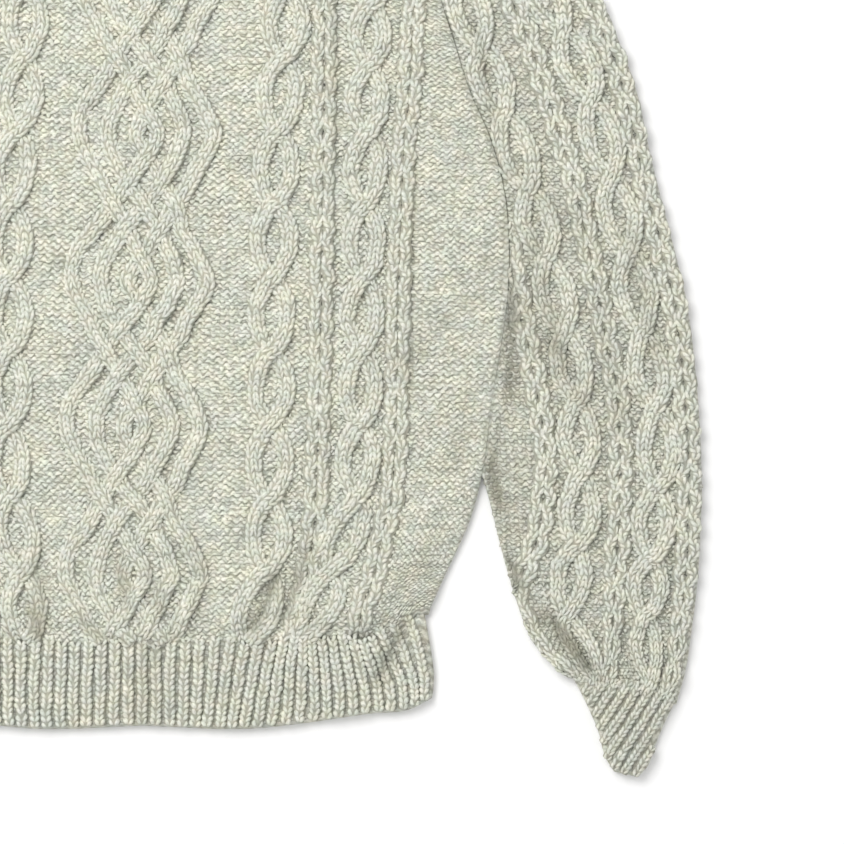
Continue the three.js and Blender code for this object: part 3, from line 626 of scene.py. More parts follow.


# Heathered wool: a cream yarn with fibres of grey, blue-grey and brown in it, with painted shade in the
# crevices and fine streaks along the yarn. Its tint drifts slowly over the garment.
def woolMaterial(name, bright, deep, reach=0.75, purl=False):
    material = bpy.data.materials.new(name)
    material.use_nodes = True
    tree = material.node_tree
    link = tree.links.new
    shader = tree.nodes["Principled BSDF"]
    for socket, value in wool["finish"].items():
        shader.inputs[socket].default_value = value
    onObject = addNode(tree, "ShaderNodeTexCoord").outputs["Object"]
    uv = addNode(tree, "ShaderNodeUVMap", uv_map="yarn").outputs["UV"]

    # Noise of a scale and detail on a vector, stretched where the stretch says so.
    def noise(vector, scale, detail, roughness, stretch=None):
        if stretch is not None:
            mapping = addNode(tree, "ShaderNodeMapping", Scale=stretch)
            link(vector, mapping.inputs["Vector"])
            vector = mapping.outputs["Vector"]
        node = addNode(tree, "ShaderNodeTexNoise", Scale=scale, Detail=detail, Roughness=roughness)
        link(vector, node.inputs["Vector"])
        return node.outputs["Fac"]

    def ramp(value, stops):
        node = colourRamp(tree, stops)
        link(value, node.inputs["Fac"])
        return node.outputs["Color"]

    def mapped(value, bounds):
        node = addNode(tree, "ShaderNodeMapRange", **bounds)
        link(value, node.inputs["Value"])
        return node.outputs["Result"]

    heather = noise(onObject, wool["heatherScale"], 3.0, 0.6)
    # Bright scales the whole colour, as painted light and shade: above 1 it lightens a copy of the wool,
    # below 1 it darkens it.
    flecks = [(place, tuple(bright * value for value in colour)) for place, colour in wool["flecks"]]
    colour = ramp(heather, flecks)
    layers = [
        ramp(noise(onObject, size, 2.0, 0.6), list(zip(wool["castPlaces"], colours)))
        for size, colours in wool["casts"]
    ]
    streak = noise(uv, 1.0, 3.0, 0.65, wool["fibreScale"])
    fibre = mapped(streak, wool["fibre"])
    rowShade = mapped(noise(onObject, 1.0, 2.0, 0.5, wool["rowScale"]), wool["rowShade"])
    relief = purlRelief(tree, uv) if purl else streak
    crest = None if purl else addNode(tree, "ShaderNodeAttribute", attribute_name="crest")
    # Painted shade: the colour falls to deep in the crevices, read from the crest on yarn and from the purl
    # relief on a sheet, and is left whole from the reach up.
    half = 0.35 * deep + 0.65
    shades = [tuple(deep * value for value in wool["darkTint"])]
    shades += [tuple(half * value for value in wool["halfTint"]), (1, 1, 1)]
    places = (0.0, 0.4 * reach, reach)
    depth = ramp(relief if purl else crest.outputs["Fac"], list(zip(places, shades)))
    for layer in (*layers, rowShade, depth, fibre):
        product = addNode(tree, "ShaderNodeMix", data_type="RGBA", blend_type="MULTIPLY")
        product.inputs[0].default_value = 1.0
        link(colour, product.inputs[6])
        link(layer, product.inputs[7])
        colour = product.outputs[2]
    link(colour, shader.inputs["Base Color"])
    bumpDepth = wool["bumpDepth"]["purl" if purl else "yarn"]
    bump = addNode(tree, "ShaderNodeBump", Strength=wool["bump"], Distance=bumpDepth)
    link(relief, bump.inputs["Height"])
    link(bump.outputs["Normal"], shader.inputs["Normal"])
    return material


# A colour ramp through the given places and colours.
def colourRamp(tree, stops):
    node = addNode(tree, "ShaderNodeValToRGB")
    elements = node.color_ramp.elements
    elements[0].position, elements[1].position = stops[0][0], stops[-1][0]
    elements[0].color, elements[1].color = (*stops[0][1], 1), (*stops[-1][1], 1)
    for place, colour in stops[1:-1]:
        elements.new(place).color = (*colour, 1)
    return node


# The relief of purl rows from a UV map counted in stitches: the sine along the rows, shifted by
# half a stitch in each next row, times the sine across them.
# A sheet's wool takes its bump and its painted shade from this relief.
def purlRelief(tree, uv):
    link = tree.links.new
    split = addNode(tree, "ShaderNodeSeparateXYZ")
    link(uv, split.inputs["Vector"])

    def calculate(operation, first, second):
        node = addNode(tree, "ShaderNodeMath", operation=operation)
        for socket, value in zip(node.inputs, (first, second)):
            if isinstance(value, (int, float)):
                socket.default_value = value
            else:
                link(value, socket)
        return node.outputs["Value"]

    across = calculate("COSINE", calculate("MULTIPLY", split.outputs["X"], 2 * math.pi), 0)
    arched = calculate("ADD", split.outputs["Y"], calculate("MULTIPLY", across, 0.16))
    rows = calculate("SINE", calculate("MULTIPLY", arched, 2 * math.pi), 0)
    return calculate("ADD", calculate("MULTIPLY", rows, 0.42), 0.5)


# Copies of the one wool that differ by painted light and shade: by their brightness and by how dark their
# painted crevice shade is. The sleeves' crevices are painted darker; the cuffs, the sheets and the rib's
# valleys are darker all over, as parts that lie more in shade; the front's ground is painted lighter.
materials = {
    "cable": woolMaterial("wool_cable", 0.99, 0.48),
    "sleeveCable": woolMaterial("wool_sleeve_cable", 1.0, 0.42),
    "sleeveGround": woolMaterial("wool_sleeve_ground", 1.0, 0.38, reach=0.6),
    "cuff": woolMaterial("wool_cuff", 0.94, 0.38),
    "ground": woolMaterial("wool_ground", 1.09, 0.46, reach=0.5),
    "sheet": woolMaterial("wool_sheet", 0.88, 0.5, purl=True),
    "rib": woolMaterial("wool_rib", 1.0, 0.42),
    "valley": woolMaterial("wool_valley", 0.72, 0.4),
}


# Makes a piece of stitches from its bundles. The yarn is painted darker down in the cloth's creases, as
# painted shade: its crest falls by a share of the crease's depth.
def stitchPiece(name, parts, material, side=1, creases=()):
    joined = joinParts(parts)
    depth = -np.minimum(creaseHeight(creases, joined["points"][:, 0], joined["points"][:, 1]), 0)
    shade = 1 - creasePaintedShade["perMillimetre"] * depth
    joined["crest"] = joined["crest"] * np.clip(shade, creasePaintedShade["least"], 1)
    return makeMesh(name, joined, material, side)


# Makes a cloth sheet from a grid of points, or from its wanted faces, and gives it its thickness
# on the inner side. Outside is -1 where the grid's faces point inwards.
def sheetPiece(name, slot, grid, uv, wanted=None, side=1, outside=1):
    quads = gridQuads(*grid.shape[:2])
    if wanted is not None:
        quads = quads[wanted(quads)]
    crest = np.full(grid.shape[:2], 0.3)
    parts = bundle(grid, quads[:, ::outside], crest, uv)
    piece = makeMesh(name, parts, "sheet", side)
    solid = piece.modifiers.new("thickness", "SOLIDIFY")
    solid.thickness = cloth["shellThickness"] * millimetre
    solid.offset = -1
    return piece


# True outside the ellipse of a neckline of the given drop.
def belowNeck(x, y, drop):
    return (x / neck["halfWidth"]) ** 2 + ((y - sideNeckHeight) / drop) ** 2 > 1


# Moves points inside the neckline's ellipse out to its edge, away from its middle.
def pushedFromNeck(points, drop):
    middle = np.array([0, sideNeckHeight])
    away = points[..., :2] - middle
    reach = np.hypot(away[..., 0] / neck["halfWidth"], away[..., 1] / drop)[..., None]
    out = points.copy()
    out[..., :2] = np.where(reach < 1, middle + away / np.maximum(reach, 1e-6), points[..., :2])
    return out


ropeFullness = 0.76  # below 1, a rope's loops are fuller than a sine
bead = {"apart": 4.1, "rise": 0.3, "knobRise": 0.5, "rightShare": 0.8}


# The sideways place and the lift of the two strands of a rope at a turn, which is half a circle
# from one crossing to the next: the strand from upper right to lower left is on top.
def ropeStrands(turn, reach, flip=1):
    swing = reach * flip * np.sign(np.sin(turn)) * np.abs(np.sin(turn)) ** ropeFullness
    over = knit["crossingLift"] * np.cos(turn)
    return [(swing, -over), (-swing, over)]


# The two strands of a bead column: they part and close again round small eyelets.
def beadStrands(v, knob):
    turn = 2 * math.pi * (knit["ovalHeight"] - v) / knit["beadPeriod"]
    apart = bead["apart"] + knob * np.cos(turn)
    rise = bead["rise"] + bead["knobRise"] * knob * np.cos(turn)
    return [(-apart, rise), (apart, rise * bead["rightShare"])]


# A path at an offset to the right of a column's line, measured at right angles to the line.
def besideLine(centre, along, offset):
    slope = np.gradient(centre, along)
    norm = np.hypot(1, slope)
    return centre + offset / norm, along - offset * slope / norm


# The six strands of the braid at heights v. A strand takes a course to the right and one to the
# left by turns; two strands share each pair of courses, one repeat apart.
def braidStrands(v):
    pairs = (
        ("rightFromLeft", "leftFromCentre"),
        ("rightFromMiddle", "leftFromMiddle"),
        ("rightFromCentre", "leftFromRight"),
    )
    periods = np.arange(-3, 6)
    place = (knit["ovalHeight"] - v) / knit["braidPeriod"]
    lift = knit["crossingLift"] * readTable(braidOver, "phase", "over", place - np.floor(place))
    phases = (periods[:, None] + np.array(braidCourses["phase"])[None, :]).ravel()
    strands = []
    for pair in pairs:
        for start in (0, 1):
            reach = np.concatenate([braidCourses[pair[(period + start) % 2]] for period in periods])
            toRight = (np.floor(place).astype(int) + start) % 2 == 0
            course = readTable({"phase": phases, "reach": reach}, "phase", "reach", place)
            strands.append((course, np.where(toRight, lift, -lift)))
    return strands


print("stage: front")

front = {
    "low": -227.0, "high": 320.0, "edgeWale": 43, "outerWale": 31.5, "seamInside": 1.8,
    "knob": 1.1, "eyeNarrow": 0.05, "sunk": 2.2, "sinkHeight": 11,
    "ropes": (
        ("innerRope", 1, 11.6), ("leftRope", 1, 11.2), ("outerRope", 1, 10.2), ("outerRope", -1, 10.6),
    ),
    "wobble": {"path": 0.8, "lift": 0.5, "narrow": 0.06},
}
# The ground's column, counted from the middle, that lies under each cable's line, and its side.
groundLines = (
    (-front["outerWale"], "outerBead", -1), (-27, "outerRope", -1), (-21, "innerBead", -1),
    (-15, "leftRope", 1), (0, "axis", 1), (15, "innerRope", 1), (21, "innerBead", 1),
    (26, "outerRope", 1), (front["outerWale"], "outerBead", 1),
)
frontV = np.arange(front["low"], front["high"])


# The line of one of the front's cables at heights v.
def columnPath(name, v):
    return readTable(frontColumns[name], "y", "x", v)


# True where a stitch of the front lies outside the neckline.
def frontKeep(x, y):
    return belowNeck(x, y, neck["frontDrop"] + 1.5)


# Every strand of the front at rows v: the name of its piece, its path across and up, its lift
# and how narrow it is. The braid's strands are a little narrower near its axis, and all of them
# sink into the cloth just above the hem rib.
def frontStrands(v):
    turn = math.pi * (knit["ovalHeight"] - v) / knit["ropePeriod"]
    found = []
    for reach, lift in braidStrands(v):
        narrow = 1 - front["eyeNarrow"] * np.exp(-((reach / 10) ** 4))
        found.append(("braid", columnPath("axis", v), reach, lift, narrow))
    for name, side, reach in front["ropes"]:
        for swing, lift in ropeStrands(turn, reach):
            found.append(("ropes", side * columnPath(name, v), swing, lift, 1 + 0 * v))
    for name in ("innerBead", "outerBead"):
        for side in (1, -1):
            for swing, lift in beadStrands(v, front["knob"]):
                found.append(("beads", side * columnPath(name, v), swing, lift, 1 + 0 * v))
    sunk = front["sunk"] * (1 - smoothStep(0, front["sinkHeight"], v - front["low"]))
    return [
        (group, *besideLine(centre, v, offset), lift - sunk, narrow)
        for group, centre, offset, lift, narrow in found
    ]


# A small unevenness of a strand's path or height, which differs from strand to strand.
def strandWobble(along, seed):
    long = 0.5 * unevenness(0 * along, along, 47, seed)
    return long + 0.25 * unevenness(0 * along, along, 16, seed + 9)


frontParts = {"braid": [], "ropes": [], "beads": []}
for number, (group, path, rows, lift, narrow) in enumerate(frontStrands(frontV)):
    path = path + front["wobble"]["path"] * strandWobble(frontV, number)
    lift = lift + front["wobble"]["lift"] * strandWobble(frontV, number + 40)
    narrow = narrow * (1 + front["wobble"]["narrow"] * strandWobble(frontV, number + 70))
    line = (path, rows, lift, strandSize[group], 100 + number)
    frontParts[group] += knitStrand(frontPoint, *line, frontKeep, narrow)


# The sideways place of ground column u at heights v: even steps between the cables' lines, and
# below the armpit all the columns out to the side seam.
def groundX(u, v):
    edge = frontEdge(v)
    beyond = front["outerWale"] + (edge - columnPath("outerBead", v)) / knit["waleWidth"]
    edgeWale = np.where(v < armpitHeight, front["edgeWale"], beyond)
    places = [(column, side * columnPath(name, v)) for column, name, side in groundLines]
    places = [(-edgeWale, -edge), *places, (edgeWale, edge)]
    x = np.full(v.shape, np.nan)
    for (lowU, lowX), (highU, highX) in zip(places[:-1], places[1:]):
        inside = (u >= lowU) & (u <= highU)
        x = np.where(inside, lowX + (u - lowU) / (highU - lowU) * (highX - lowX), x)
    return x


# True where no strand hides the ground: farther from every path than a share of its radius.
def clearOfStrands(x, rows, strands):
    clear = np.ones(x.shape, bool)
    for group, path, at, _, narrow in strands:
        hidden = strandSize[group]["radius"] * knit["hiddenShare"] * narrow[:, None]
        clear &= ~(np.abs(x - np.interp(rows, at, path)[:, None]) < hidden)
    return clear


# The ground's purl bumps: columns by rows, shifted by half a column in each next row, without
# those that a strand hides or the neckline cuts off.
def frontGround(firstWale, lastWale, seed):
    rng = np.random.default_rng(seed)
    rows = np.arange(front["low"] + 2, front["high"], knit["groundRow"])
    v, u = spread(rows, np.arange(firstWale, lastWale, 1.0))
    odd = np.arange(len(rows))[:, None] % 2
    u = u + 0.5 * odd + rng.normal(0, 0.04, v.shape)
    bend = 1.0 - 2.0 * odd + 0 * v
    x = groundX(u, v)
    width = np.abs(groundX(u + 0.5, v) - groundX(u - 0.5, v))
    width = np.where(np.isfinite(width), width, knit["waleWidth"] * 0.7)
    known = np.nan_to_num(x)
    v = v + 1.0 * unevenness(known, v, 120, 3) + 0.35 * unevenness(known, v, 37, 6)
    shown = np.isfinite(x) & (v < front["high"]) & (v > front["low"] + 1)
    shown &= np.abs(x) < frontEdge(v) - front["seamInside"]
    shown &= clearOfStrands(x, rows, frontStrands(rows))
    x = x + 0.4 * unevenness(known, v, 44, 8)
    points = frontPoint(np.nan_to_num(x), v)
    shown &= belowNeck(points[..., 0], points[..., 1], neck["frontDrop"])
    values = (x[shown], v[shown], width[shown], knit["groundRow"], bend[shown])
    return purlArcs(frontPoint, *values, seed)


# A sheet of the body: rows of points that crowd towards the side seams, with the points inside
# the neckline moved out to its edge, and the test for the faces below the neckline. The front's
# lies a little below its stitches. The back's is flat, and at its sides and shoulders it rises
# as a fold does, to meet the front.
def bodySheet(low, rows, columns, drop, inset, flat):
    crowded = np.sin(np.linspace(-math.pi / 2, math.pi / 2, columns))
    v, share = spread(np.linspace(low, sideNeckHeight, rows), crowded)
    edge = frontEdge(v[:, :1]) - inset
    x = edge * share
    grid = frontPoint(x, v)
    shoulder = sideNeckHeight - v + 0.6 * np.maximum(0, neck["halfWidth"] + 4 - np.abs(x))
    distance = np.minimum(edge - np.abs(x), shoulder)
    flatHeight = cloth["backRise"] * (1 - foldRise(distance, cloth["underFold"]))
    grid[..., 2] = flatHeight if flat else grid[..., 2] - cloth["sheetDrop"]
    inside = ~belowNeck(grid[..., 0], grid[..., 1], drop).ravel()
    uv = np.stack([x / knit["waleWidth"], v / knit["groundRow"] / 2], -1)
    return pushedFromNeck(grid, drop), uv, lambda quads: ~inside[quads].all(1)


sheet = bodySheet(ribTop["y"][0] - 3, 110, 90, neck["frontDrop"], 0, False)
frontCloth = sheetPiece("front_sheet", "cable_knit", *sheet)
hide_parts("front")
ground = {
    "left": [frontGround(-front["edgeWale"], 0, 7)],
    "right": [frontGround(0, front["edgeWale"] + 1, 8)],
}
frontPieces = [
    stitchPiece(f"front_{name}", parts, "cable", creases=frontCreases)
    for name, parts in frontParts.items()
] + [
    stitchPiece(f"front_ground_{name}", parts, "ground", creases=frontCreases)
    for name, parts in ground.items()
]

print("stage: back")

sheet = bodySheet(ribTop["y"][0], 90, 60, neck["backDrop"], 0.4, True)
backCloth = sheetPiece("back_sheet", "cable_knit", *sheet, outside=-1)
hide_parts("back")

print("stage: hem rib")

hem = {
    "ridges": 23, "pitch": 9.8, "crowding": 0.043, "top": 3.3, "backRise": 4.6, "sheetDrop": 0.8,
    "ridge": {"wales": 1, "height": 2.4, "thick": 1.1, "row": 4.0},
    "ridgeWidth": 0.8, "ridgeRadius": 0.58,  # shares of the pitch and of that width
    "valleys": {"rows": 13, "width": 5.2, "row": 3.4, "across": 9.0, "up": 60.0},
}
hem["halfWidth"] = hem["pitch"] * hem["ridges"] - hem["crowding"] * hem["ridges"] ** 2
# How far the top of a rib stands to the right of its foot.
hemLean = {
    "x": [-209, -185, -150, -110, -60, 0, 40, 67, 88, 106, 128, 150, 178, 193, 209],
    "shift": [0, 6, 3, -3, 1, 0, 4, 10, 11, 6, -2, -7, -13, -10, 0],
}
hemCreases = [
    (187, -217, 172, -248, -2.8, 6), (152, -230, 146, -262, 1.3, 13),
    (60, -232, 74, -250, 1.0, 16), (-186, -216, -170, -246, -2.4, 7),
    (-92, -232, -100, -258, 1.2, 15), (8, -234, 4, -262, -1.2, 12),
]


# The hem rib's surface at ridge number k and a share of its height from the hem: ridges crowd
# and lean towards the side seams, the height rounds away there and at the hem, and creases and
# waves are added to it.
def hemPoint(k, share, low=cloth["frontFloor"]):
    place = hem["pitch"] * k - hem["crowding"] * k * np.abs(k)
    height = ribEdge["y"][0] + (ribEdge["y"][-1] - ribEdge["y"][0]) * share
    lean = readTable(hemLean, "x", "shift", place) * (np.maximum(share, 0) ** 1.4 - 0.35)
    x = place * readTable(ribEdge, "y", "x", height) / hem["halfWidth"] + lean
    bottom = readTable(ribEnd, "x", "y", np.abs(x))
    top = readTable(ribTop, "x", "y", np.abs(x)) - 0.6
    inside = np.clip((hem["ridges"] - np.abs(k)) / 1.5, 0, 1)
    ends = rounded("hemEdge", share) * rounded("hemSide", inside)
    y = bottom + (top - bottom) * share
    relief = creaseHeight(hemCreases, x, y) + 0.5 * clothWaves(x, y)
    return np.stack([x, y, low + (hem["top"] + relief) * ends], -1)


# The knit ridges. Each starts a little above the edge and runs a little way up on the body.
def hemRib():
    rng = np.random.default_rng(21)
    parts = []
    for number in range(-hem["ridges"] + 1, hem["ridges"]):
        share = np.linspace(0.03, 1.11 + 0.09 * rng.uniform(-1, 1), 60)
        width = (hem["pitch"] - 2 * hem["crowding"] * abs(number)) * hem["ridgeWidth"]
        size = {**hem["ridge"], "wale": width, "radius": width * hem["ridgeRadius"]}
        sunk = 0.35 * strandWobble(share * 60, number) - 1.6 * smoothStep(0.96, 1.2, share)
        bend = 0.045 * strandWobble(share * 60, number + 50)
        parts += knitStrand(hemPoint, number + bend, share, sunk, size, 300 + number)
    return parts


# The bars of the purl columns between the ridges, on a surface whose steps are counted in
# millimetres: across is a ridge's width and up is the rib's height.
def hemValleys():
    valleys = hem["valleys"]
    across, up = valleys["across"], valleys["up"]
    rows = (np.arange(valleys["rows"]) + 0.5) / valleys["rows"]
    share, k = spread(0.03 + 0.97 * rows, np.arange(-hem["ridges"] + 0.5, hem["ridges"]))

    def valleyPoint(a, b):
        return hemPoint(a / across, b / up, cloth["frontFloor"] - cloth["sheetDrop"])

    places = (k.ravel() * across, share.ravel() * up)
    return purlArcs(valleyPoint, *places, valleys["width"], valleys["row"], 1.0, 9)


# A sheet of the rib: the front one a little below its stitches, the back one flat, and rounded
# up at its edges.
def ribSheet(low, flat):
    shares = [0, 0.03, 0.1, 0.3, 0.5, 0.7, 0.9, 1.0]
    share, k = spread(shares, np.linspace(-hem["ridges"], hem["ridges"], 4 * hem["ridges"] + 1))
    grid = hemPoint(k, share, low)
    edge = np.minimum(hem["ridges"] - np.abs(k), 14 * np.minimum(share, 1 - share))
    flatHeight = hem["backRise"] * (1 - foldRise(edge, 1.0))
    grid[..., 2] = flatHeight if flat else grid[..., 2] - hem["sheetDrop"]
    return grid, np.stack([k, share * 7], -1)


hemCloth = sheetPiece("hem_rib_sheet", "rib_knit", *ribSheet(cloth["frontFloor"], False))
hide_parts("hem_rib_front")
hemBackCloth = sheetPiece("hem_rib_back_sheet", "rib_knit", *ribSheet(0.0, True), outside=-1)
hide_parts("hem_rib_back")
hemPieces = [
    stitchPiece("hem_ridges", hemRib(), "rib", creases=hemCreases),
    stitchPiece("hem_valleys", [hemValleys()], "valley", creases=hemCreases),
]

print("stage: sleeves")

sleeve = {
    "length": 535.0, "knob": 1.4, "beadFromFold": 9.8, "tucked": 1.8,
    "ropes": (("innerRope", 10.0), ("outerRope", 10.6)),
    "beads": ("innerBead", "middleBead", "outerBead"),
    "drawnBy": 0.4, "drawnFrom": 430, "drawnTo": 530,  # the strands' gathering above the cuff
    "groundColumns": 34, "groundStep": 6.0, "groundInside": 1.5,
    "gatherFrom": 380, "gatheredColumns": 26,  # the ground's gathering
}


# The line of one of a sleeve's ropes or bead columns at lengths along it.
def sleeveColumn(name, along):
    _, innerY, outerX, outerY = sleeveRow(along)
    if name == "outerBead":
        return outerX - sleeve["beadFromFold"]
    return readTable(sleeveColumns[name], "y", "x", (innerY + outerY) / 2)


# Every strand of a sleeve at lengths along it: the name of its size, its path across and along,
# its lift and how narrow it is. They draw together and sink where the sleeve is gathered to the
# cuff, and they dip under the body's edge.
def sleeveStrands(along, side):
    innerX, innerY, _, outerY = sleeveRow(along)
    middle = (innerY + outerY) / 2
    drawn = 1 - sleeve["drawnBy"] * smoothStep(sleeve["drawnFrom"], sleeve["drawnTo"], along)
    found = []
    for name, reach in sleeve["ropes"]:
        turn = math.pi * readTable(sleeveCrossings[name], "y", "halfTurns", middle)
        found += [("ropes", name, swing, lift) for swing, lift in ropeStrands(turn, reach, side)]
    for name in sleeve["beads"]:
        found += [("beads", name, swing, lift) for swing, lift in beadStrands(middle, sleeve["knob"])]
    strands = []
    for group, name, swing, lift in found:
        path, at = besideLine(sleeveColumn(name, along), along, swing * drawn)
        sunk = 2.6 * smoothStep(523, 537, along) + 1.4 * (1 - smoothStep(0, 11, path - innerX))
        strands.append((group, path, at, lift - sunk, 0.35 + 0.65 * drawn))
    return strands


# True where a stitch of a sleeve lies clear of the body's edge.
def sleeveKeep(x, y):
    return x > sleeveInnerEdge(y) + 0.2


# The stretches of a path that lie on the sleeve, as slices of its points.
def runsInside(inside):
    marks = np.flatnonzero(np.diff(np.concatenate([[0], inside.astype(int), [0]])))
    return [slice(start, end) for start, end in marks.reshape(-1, 2) if end - start > 8]


# The stitches of a sleeve's strands. Each path runs up from the cuff, as the stitches do, and on
# under the body's edge, where its stitches are left out.
def sleeveStitches(side):
    along = np.arange(sleeve["length"], 2, -1.0)
    innerX, _, outerX, _ = sleeveRow(along)
    parts = []
    for number, (group, path, at, lift, narrow) in enumerate(sleeveStrands(along, side)):
        size = strandSize[group]
        path = path + 0.8 * strandWobble(along, number + 20)
        lift = lift + 0.5 * strandWobble(along, number + 60)
        inside = (path > innerX - size["radius"]) & (path < outerX - size["radius"] * 0.4)
        for run in runsInside(inside):
            line = (path[run], at[run], lift[run], size, 400 + number)
            parts += knitStrand(sleevePoint, *line, sleeveKeep, narrow[run])
    return parts


# A sleeve's purl bumps, counted from its outer fold: even columns, which draw together towards
# the cuff.
def sleeveGround(side):
    rng = np.random.default_rng(12)
    rows = np.arange(3.0, sleeve["length"] - 1, knit["groundRow"])
    innerX, _, outerX, _ = (values[:, None] for values in sleeveRow(rows))
    down = rows[:, None]
    odd = (np.arange(len(rows)) % 2)[:, None]
    index = np.arange(sleeve["groundColumns"])[None, :] + 0.5 * odd
    index = index + rng.normal(0, 0.04, index.shape)
    bend = 1.0 - 2.0 * odd + 0 * index
    first = outerX - sleeve["groundInside"]
    x = first - index * sleeve["groundStep"]
    drawn = np.clip((down - sleeve["gatherFrom"]) / (sleeve["length"] - sleeve["gatherFrom"]), 0, 1)
    gathered = first - index * (outerX - innerX) / sleeve["gatheredColumns"]
    x = x + (gathered - x) * smoothStep(0, 1, drawn)
    width = sleeve["groundStep"] * (1 - 0.25 * drawn) + 0 * x
    shown = (x > innerX + 1.0) & (x < outerX - front["seamInside"])
    shown &= clearOfStrands(x, rows, sleeveStrands(rows, side))
    along = down + 0.9 * unevenness(x, down, 105, 5) + 0.3 * unevenness(x, down, 35, 4)
    x = x + 0.4 * unevenness(x, down, 44, 9)

    def upwards(a, b):  # rows are counted down the sleeve, and bumps are knitted up it
        return sleevePoint(a, -b)

    values = (x[shown], -along[shown], width[shown], knit["groundRow"], bend[shown])
    return purlArcs(upwards, *values, 11)


# Joins a top to the sheet under it round the outer fold, and measures the way round.
def foldedSheet(top, under):
    whole = np.concatenate([top, under[:, 1:]], 1)
    steps = np.linalg.norm(np.diff(whole, axis=1, prepend=whole[:, :1]), axis=-1)
    return whole, np.cumsum(steps, 1)


# The sleeve's sheet: from the seam across the top, round the outer fold and back underneath,
# where it rises to the fold and the sleeve's head, and to the free inner fold below the armpit.
def sleeveSheet():
    along = np.linspace(sleeve["length"], 2.0, 100)
    innerX, innerY, outerX, _ = (values[:, None] for values in sleeveRow(along))
    start = innerX - sleeve["tucked"] * smoothStep(-20, 20, innerY - sleeveLeavesBody)
    along, share = spread(along, (1 - np.cos(np.linspace(0, math.pi, 34))) / 2)
    top = sleevePoint(start + (outerX - start) * share, along)
    top[..., 2] -= cloth["sheetDrop"]
    under = top[:, ::-1].copy()
    outer = outerX - under[..., 0]
    either = np.minimum(under[..., 0] - innerX, outer)
    opened = np.where(under[..., 1] > armpitHeight, outer, either)
    opened = np.minimum(opened, along - along[-1])
    under[..., 2] = top[:, -1:, 2] * (1 - foldRise(opened, cloth["underFold"]))
    whole, around = foldedSheet(top, under)
    down = -along[:, :1] / knit["groundRow"] / 2
    return whole, np.stack([around / knit["waleWidth"], down + 0 * around], -1)


# Makes the right and the left one of a pair: its sheet, which replaces its solid, and its
# stitches, each with the name of what it is and of its material.
def pairPieces(name, slot, sheet, stitches, creases=()):
    pair = {}
    for sideName, side in (("right", 1), ("left", -1)):
        whole = f"{name}_{sideName}"
        piece = sheetPiece(f"{whole}_sheet", slot, *sheet(), side=side)
        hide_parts(whole)
        pair[sideName] = {"sheet": piece, "stitches": [
            stitchPiece(f"{whole}_{kind}", parts(side), material, side, creases)
            for kind, parts, material in stitches
        ]}
    return pair


stitches = (
    ("cables", sleeveStitches, "sleeveCable"),
    ("ground", lambda side: [sleeveGround(side)], "sleeveGround"),
)
sleevePieces = pairPieces("sleeve", "cable_knit", sleeveSheet, stitches, sleeveCreases)

print("stage: cuffs")

cuff = {
    "ridges": 16, "firstX": 302, "pitch": 8.2, "slant": 0.56, "topY": -254, "highest": -0.13,
    "ridge": {"wales": 1, "wale": 5.6, "radius": 3.5, "height": 2.1, "thick": 0.85, "row": 3.7},
    "floor": 4.6, "top": 6.6, "sheetDrop": 0.7,
}


# The two ends of a row across the cuff.
def cuffRow(along):
    names = ("innerX", "innerY", "outerX", "outerY")
    return [readTable(cuffRows, "along", name, along) for name in names]


# The cuff's surface at a share across it and a share down it: its height rounds away at both
# folds, and a little at its two ends.
def cuffPoint(share, along):
    innerX, innerY, outerX, outerY = cuffRow(along)
    height = cuff["floor"] + cuff["top"] * foldRise(np.minimum(share, 1 - share), 0.3)
    ends = rounded("cuffEdge", np.minimum(along + 0.2, 1.0 - along))
    x = innerX + (outerX - innerX) * share
    return np.stack([x, innerY + (outerY - innerY) * share, height * ends], -1)


# The cuff's ridges, slanting because the cuff lies twisted: each keeps its slant and its place
# beside the next one.
def cuffStitches():
    parts = []
    along = np.linspace(0.99, cuff["highest"], 76)
    innerX, innerY, outerX, outerY = cuffRow(along)
    down = cuff["topY"] - (innerY + outerY) / 2
    for number in range(cuff["ridges"]):
        x = cuff["firstX"] + cuff["pitch"] * number - cuff["slant"] * down
        share = (x - innerX) / (outerX - innerX)
        top = 0.02 + 0.2 * (1 - np.clip(share, 0, 1)) ** 2
        sunk = 0.3 * strandWobble(along * 60, number) - 1.8 * smoothStep(-top, 0.15 - top, -along)
        for run in runsInside((share > 0.03) & (share < 0.97)):
            line = (share[run], along[run], sunk[run], cuff["ridge"])
            parts += knitStrand(cuffPoint, *line, 600 + number)
    return parts


# The cuff's sheet: across its top, round the outer fold and back underneath, rising to both folds.
def cuffSheet():
    shares = (1 - np.cos(np.linspace(0, math.pi, 20))) / 2
    along, share = spread(np.linspace(1.0, cuff["highest"], 30), shares)
    top = cuffPoint(share, along)
    top[..., 2] -= cuff["sheetDrop"]
    under = top[:, ::-1].copy()
    distance = np.minimum(share, 1 - share)[:, ::-1]
    under[..., 2] = top[:, -1:, 2] * (1 - foldRise(distance, 0.15))
    whole, around = foldedSheet(top, under)
    along = along[:, :1]
    return whole, np.stack([around / knit["waleWidth"] + along * 6, -along * 7 + 0 * around], -1)


stitches = (("ridges", lambda side: cuffStitches(), "cuff"),)
cuffPieces = pairPieces("cuff", "rib_knit", cuffSheet, stitches)

print("stage: neckband")

band = {
    "width": 26, "freeHalfWidth": 72, "freeHeight": 12, "height": 4.0, "sheetDrop": 0.6,
    "front": {"ridges": 26, "ridgeWidth": 5.4, "seed": 700},
    "back": {"ridges": 20, "ridgeWidth": 4.6, "seed": 740},
    "ridge": {"wales": 1, "height": 1.9, "row": 4.3},
    "ridgeRadius": 0.64,
}


